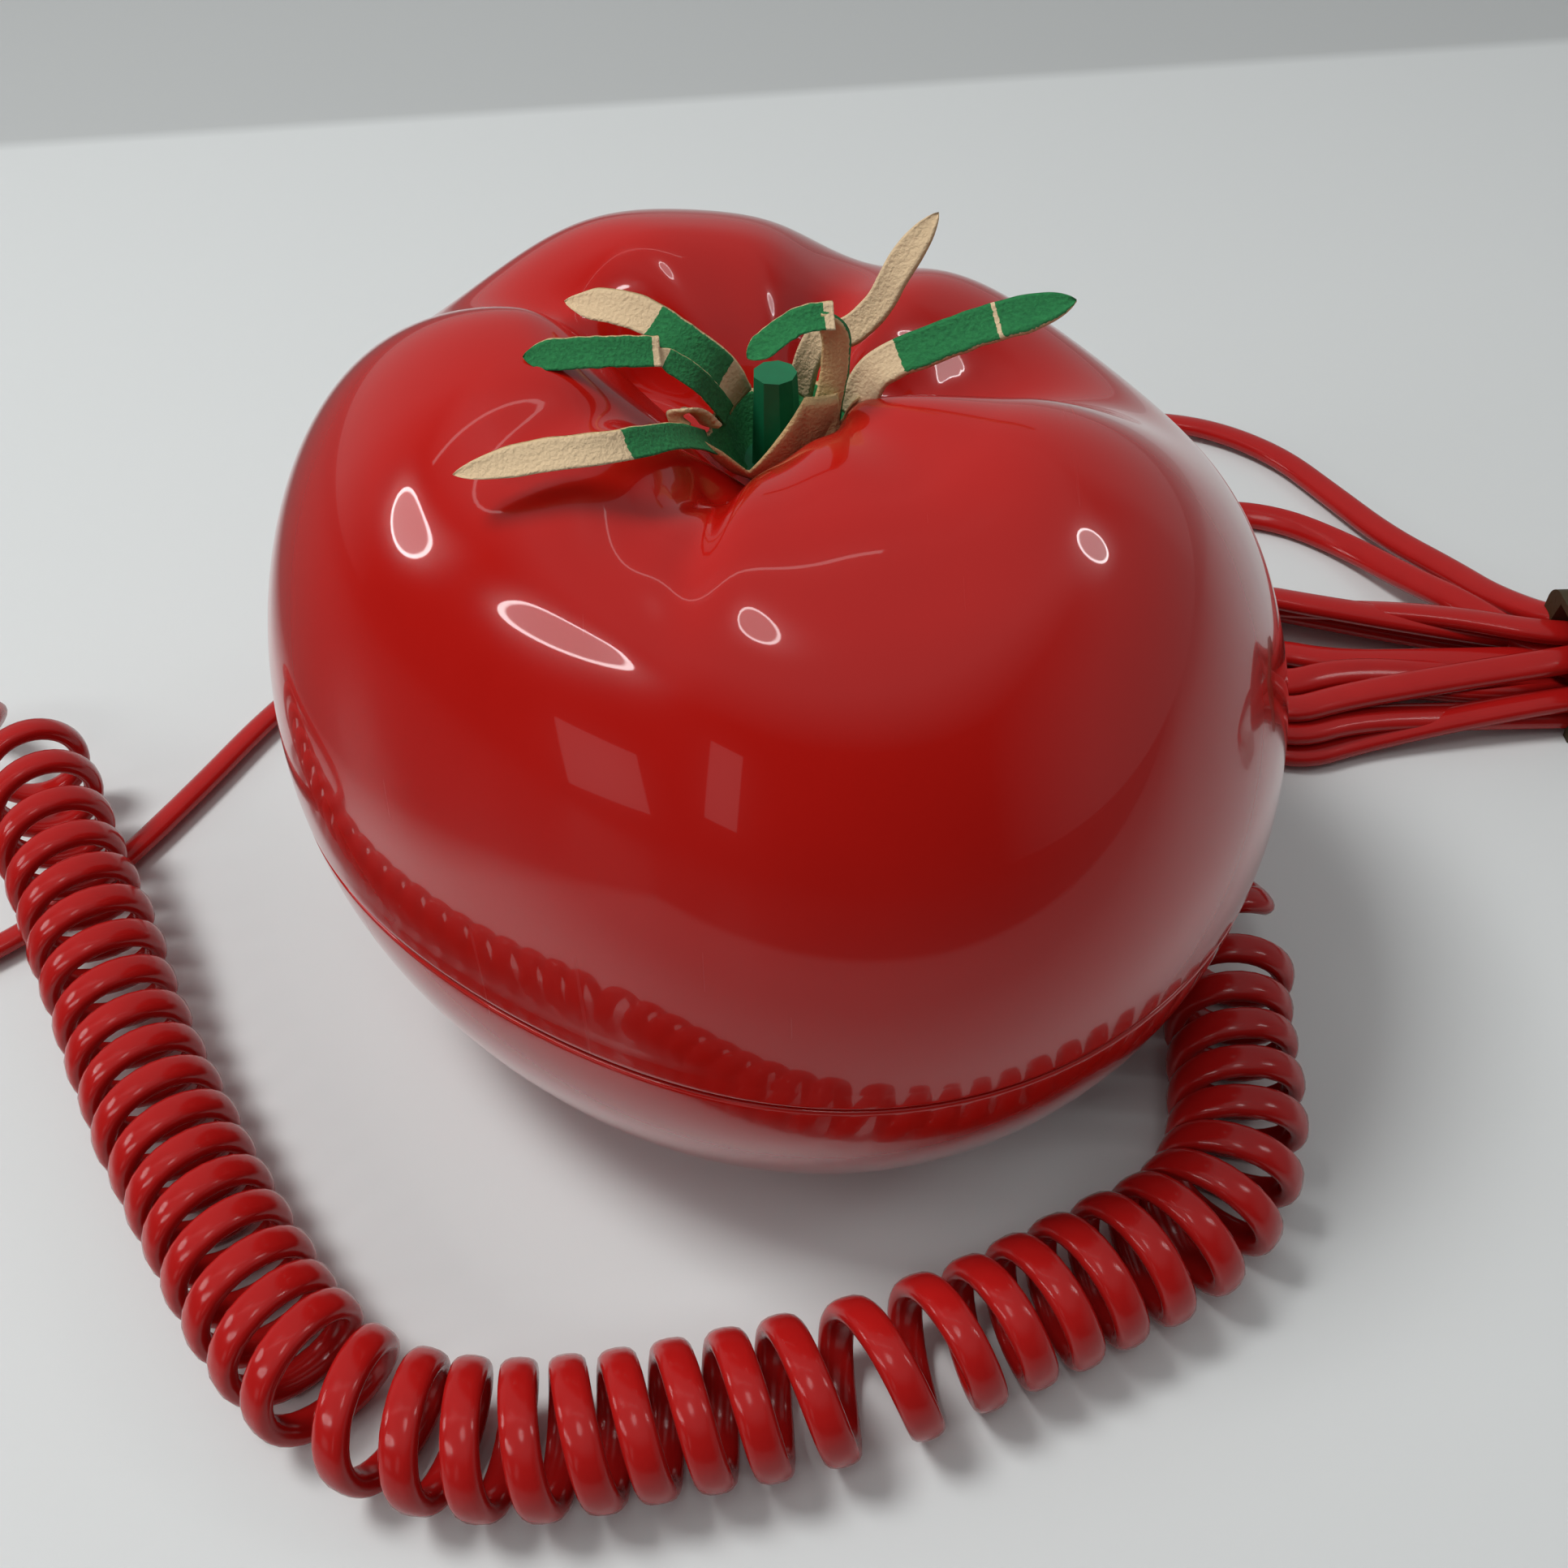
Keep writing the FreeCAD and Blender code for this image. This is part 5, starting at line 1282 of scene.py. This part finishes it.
class PHONE_OT_markings(bpy.types.Operator):
    """Printed figures and letters on the keys"""

    bl_idname = "phone.markings"
    bl_label = "Markings"

    def execute(self, context):
        ink = grained("key_ink", (0.02, 0.02, 0.022), 0.5, bump=0.0)
        for node, figure, letters in KEY_MARKS:
            low, high = self.box(NODES[node])
            middle = (low + high) / 2
            width = high.x - low.x - 2 * KEY_FLANGE * MM
            size = FIGURE_SIZE * width
            rise = FIGURE_OVER_LETTERS if letters else FIGURE_ALONE
            marks = [self.mark(figure, size, (middle.x, middle.y + rise * width))]
            if letters:
                place = (middle.x, middle.y + LETTERS_DOWN * width)
                marks.append(self.mark(letters, LETTERS_SIZE * size, place))
            bm = bmesh.new()
            for mark in marks:
                bm.from_mesh(mark)
                bpy.data.meshes.remove(mark)
            long_edges = [e for e in bm.edges if e.calc_length() > PRINT_EDGE * MM]
            bmesh.ops.subdivide_edges(bm, edges=long_edges, cuts=3)
            bmesh.ops.triangulate(bm, faces=bm.faces)
            radius = KEY_DISH_RADIUS * MM
            dish = high.z - self.edge_rise(width) + radius
            for vert in bm.verts:
                off = vert.co.x - middle.x
                vert.co.z = dish - math.sqrt(radius**2 - off**2) + PRINT_LIFT * MM + vert.co.z
            print_mesh = finish_mesh(node + "_print", bm)
            dress(print_mesh, SLOT_OF[node], ink, BODY_OF[node])
        return {"FINISHED"}

    def box(self, obj):
        """Corners of a node's box in metres."""
        places = [obj.matrix_world @ v.co for v in obj.data.vertices]
        low = Vector([min(p[i] for p in places) for i in range(3)])
        return low, Vector([max(p[i] for p in places) for i in range(3)])

    def edge_rise(self, width):
        """Height of the key's side edges over the lowest line of its dish."""
        radius = KEY_DISH_RADIUS * MM
        return radius - math.sqrt(radius**2 - (width / 2) ** 2)

    def mark(self, text, size, place):
        """Flat mesh of one mark, centred on a place."""
        data = bpy.data.curves.new("mark", "FONT")
        data.body = text
        data.size = size
        data.align_x = "CENTER"
        data.align_y = "CENTER"
        data.extrude = PRINT_HALF * MM
        mesh = curve_mesh(data)
        mesh.transform(Matrix.Translation((*place, 0)))
        return mesh


# Camera as fitted to the photo
CAMERA_PLACE = (0.00002, -0.13477, 0.17319)
CAMERA_RIGHT = (0.9998, -0.0159, -0.0147)
CAMERA_UP = (0.0216, 0.7327, 0.6802)
SENSOR_WIDTH = 36.0
# Table: half its size, slope and place of the line behind which it is grey, and how dark there
FLOOR_HALF = 3.0
BACK_SLOPE = 0.105
BACK_EDGE = {"From Min": 0.262, "From Max": 0.268}
BACK_SHADE = 0.72
# Painted shadow that only the gloss sees on the table, in front and on the left, darkest past its
# front edge: axis, start and end in metres, and how far
MIRRORED_SHADOW_AND_EDGE = (("Y", -0.05, -0.13, 0.5), ("Y", -0.18, -0.22, 1.0), ("X", -0.11, -0.15, 1.0))
# Share of the table's colour that the painted shadow in the gloss leaves
MIRRORED_SHADE = 0.10
# Even light of the room, bright above, behind and on the right
ROOM_RAMPS = (("Z", 0.55, 0.78, 1.0), ("Y", 0.05, 0.45, 0.9), ("X", 0.62, 0.90, 0.7))
ROOM_DARK = (0.10, 0.09, 0.09)
ROOM_BRIGHT = (0.92, 0.95, 0.96)
CEILING_PLACE = (-0.45, 0.10, 0.92)
CEILING_SIZE = 0.28
# Height that the lights aim at
AIM_HEIGHT = 0.06
# Lamps: azimuth, elevation, width, depth, roll in degrees and share of the lamps' power
LAMPS = (
    (-89, 22, 0.16, 0.20, 0, 0.7),
    (-53, 31, 0.38, 0.13, 32, 1.0),
    (-1, 71, 0.13, 0.20, 0, 0.45),
    (89, 40, 0.09, 0.19, 0, 0.43),
)
LAMP_DISTANCE = 0.8
# Glow of a lamp inside and along its rim, and where the rim starts and is full
LAMP_RIM = {"From Min": 0.42, "From Max": 0.45, "To Min": 0.5, "To Max": 3.7}
# Window panes that show faintly in the gloss: azimuth, elevation, width, depth and roll
PANES = ((-44, 6, 0.20, 0.17, 12), (-21, 16, 0.09, 0.28, -8))
PANE_GLOW = 0.55
# Thin rail overhead: place, length, width and glow
RAIL_PLACE = (-0.45, 0.06, 1.0)
RAIL_SIZE = (1.45, 0.018)
RAIL_GLOW = 2.2


def aim(azimuth, elevation, distance):
    """Place at an azimuth and an elevation in degrees, seen from the phone."""
    phi, rise = math.radians(azimuth), math.radians(elevation)
    flat = distance * math.cos(rise)
    return (flat * math.sin(phi), -flat * math.cos(phi), distance * math.sin(rise) + AIM_HEIGHT)


class PHONE_OT_stage(bpy.types.Operator):
    """Floor, light and camera"""

    bl_idname = "phone.stage"
    bl_label = "Stage"

    def execute(self, context):
        stage = context.scene.phone_stage
        self.camera(context, stage)
        self.floor(stage)
        self.room(context, stage)
        context.scene.view_settings.view_transform = "Standard"
        return {"FINISHED"}

    def camera(self, context, stage):
        """Camera as fitted to the photo."""
        data = bpy.data.cameras.new("camera")
        data.sensor_width = SENSOR_WIDTH
        data.lens = stage.lens
        data.clip_start = 0.01
        camera = bpy.data.objects.new("camera", data)
        context.scene.collection.objects.link(camera)
        right = Vector(CAMERA_RIGHT)
        back = right.cross(Vector(CAMERA_UP)).normalized()
        upward = back.cross(right).normalized()
        turn = Matrix((right, upward, back)).transposed().to_4x4()
        camera.matrix_world = Matrix.Translation(CAMERA_PLACE) @ turn
        context.scene.camera = camera

    def floor(self, stage):
        """Pale table, grey at the back, with a painted shadow that only the gloss mirrors."""
        bm = bmesh.new()
        bmesh.ops.create_grid(bm, x_segments=1, y_segments=1, size=FLOOR_HALF)
        floor = finish_mesh("floor", bm)
        material, tree, shader = new_material("floor")
        links = tree.links
        apart, past = place_ramps(tree, "Object", MIRRORED_SHADOW_AND_EDGE)
        slope = add_node(tree, "Math", {1: -BACK_SLOPE}, operation="MULTIPLY_ADD")
        links.new(apart.outputs["X"], slope.inputs[0])
        links.new(apart.outputs["Y"], slope.inputs[2])
        edge = add_node(tree, "MapRange", BACK_EDGE)
        links.new(slope.outputs["Value"], edge.inputs["Value"])
        grey = [c * BACK_SHADE for c in stage.floor]
        tint = colour_mix(tree, edge.outputs["Result"], stage.floor, grey)
        # Painted shadow that only glossy rays see: where the mask in past is high, the table turns
        # to the dark colour, in front, on the left and beyond its front edge
        path = add_node(tree, "LightPath")
        mirrored = add_node(tree, "Math", operation="MULTIPLY")
        links.new(past, mirrored.inputs[0])
        links.new(path.outputs["Is Glossy Ray"], mirrored.inputs[1])
        dark = [c * MIRRORED_SHADE for c in stage.floor]
        shade = colour_mix(tree, mirrored.outputs["Value"], tint, dark)
        links.new(shade, shader.inputs["Base Color"])
        shader.inputs["Roughness"].default_value = 0.34
        shader.inputs["Specular IOR Level"].default_value = 0.5
        floor.data.materials.append(material)

    def room(self, context, stage):
        """Even light that is dark towards the viewer, a soft light above and lamps in the gloss."""
        world = bpy.data.worlds.new("room")
        world.use_nodes = True
        tree = world.node_tree
        glow = tree.nodes["Background"]
        _, bright = place_ramps(tree, "Generated", ROOM_RAMPS)
        tree.links.new(colour_mix(tree, bright, ROOM_DARK, ROOM_BRIGHT), glow.inputs["Color"])
        glow.inputs["Strength"].default_value = stage.sky
        context.scene.world = world
        ceiling = self.area("ceiling", CEILING_PLACE, CEILING_SIZE, CEILING_SIZE, stage.ceiling)
        ceiling.visible_glossy = False
        for azimuth, elevation, width, depth, roll, share in LAMPS:
            place = aim(azimuth, elevation, LAMP_DISTANCE)
            lamp = self.area("lamp", place, width, depth, stage.lamp * share, roll)
            lamp.data.shape = "ELLIPSE"
            self.bright_rim(lamp.data)
        for azimuth, elevation, width, depth, roll in PANES:
            power = PANE_GLOW * math.pi * width * depth
            self.area("pane", aim(azimuth, elevation, LAMP_DISTANCE), width, depth, power, roll)
        length, width = RAIL_SIZE
        rail = self.area("rail", RAIL_PLACE, length, width, RAIL_GLOW * math.pi * length * width)
        rail.rotation_euler = (0, 0, 0)

    def area(self, name, place, width, depth, power, roll=0.0):
        """Soft light aimed at the phone."""
        data = bpy.data.lights.new(name, "AREA")
        data.shape = "RECTANGLE"
        data.size = width
        data.size_y = depth
        data.energy = power
        light = bpy.data.objects.new(name, data)
        bpy.context.scene.collection.objects.link(light)
        light.location = place
        way = Vector((0, 0, AIM_HEIGHT)) - Vector(place)
        turn = way.to_track_quat("-Z", "Y").to_matrix().to_4x4()
        light.rotation_euler = (turn @ Matrix.Rotation(math.radians(roll), 4, "Z")).to_euler()
        light.visible_camera = False
        return light

    def bright_rim(self, data):
        """Make a lamp brighter along its frame."""
        data.use_nodes = True
        tree = data.node_tree
        glow = tree.nodes["Emission"]
        place = add_node(tree, "NewGeometry")
        centred = add_node(tree, "VectorMath", {1: (0.5, 0.5, 0)}, operation="SUBTRACT")
        reach = add_node(tree, "VectorMath", operation="LENGTH")
        rim = add_node(tree, "MapRange", LAMP_RIM)
        tree.links.new(place.outputs["Parametric"], centred.inputs[0])
        tree.links.new(centred.outputs["Vector"], reach.inputs[0])
        tree.links.new(reach.outputs["Value"], rim.inputs["Value"])
        tree.links.new(rim.outputs["Result"], glow.inputs["Strength"])


class PHONE_PT_panel(bpy.types.Panel):
    """Pieces of the phone and their settings"""

    bl_label = "Tomato Phone"
    bl_idname = "PHONE_PT_panel"
    bl_space_type = "VIEW_3D"
    bl_region_type = "UI"
    bl_category = "Tomato Phone"

    def draw(self, context):
        for operator in OPERATORS:
            self.layout.operator(operator.bl_idname)
        for name in SETTINGS:
            group = getattr(context.scene, name)
            box = self.layout.box()
            for key in group.__annotations__:
                box.prop(group, key)


SETTINGS = {
    "phone_fruit": FruitSettings,
    "phone_cords": CordSettings,
    "phone_calyx": CalyxSettings,
    "phone_stage": StageSettings,
}
OPERATORS = (
    PHONE_OT_shells,
    PHONE_OT_curly_cord,
    PHONE_OT_line_cord,
    PHONE_OT_calyx,
    PHONE_OT_fittings,
    PHONE_OT_markings,
    PHONE_OT_stage,
)
CLASSES = (*SETTINGS.values(), *OPERATORS, PHONE_PT_panel)


def register():
    """Register the classes and the scene's settings."""
    for cls in CLASSES:
        bpy.utils.register_class(cls)
    for name, group in SETTINGS.items():
        setattr(bpy.types.Scene, name, bpy.props.PointerProperty(type=group))


def unregister():
    """Remove the scene's settings and the classes."""
    for name in SETTINGS:
        delattr(bpy.types.Scene, name)
    for cls in reversed(CLASSES):
        bpy.utils.unregister_class(cls)


def main():
    """Build every piece."""
    register()
    bpy.ops.phone.shells()
    bpy.ops.phone.curly_cord()
    bpy.ops.phone.line_cord()
    bpy.ops.phone.calyx()
    bpy.ops.phone.fittings()
    bpy.ops.phone.markings()
    bpy.ops.phone.stage()


if __name__ == "__main__":
    main()
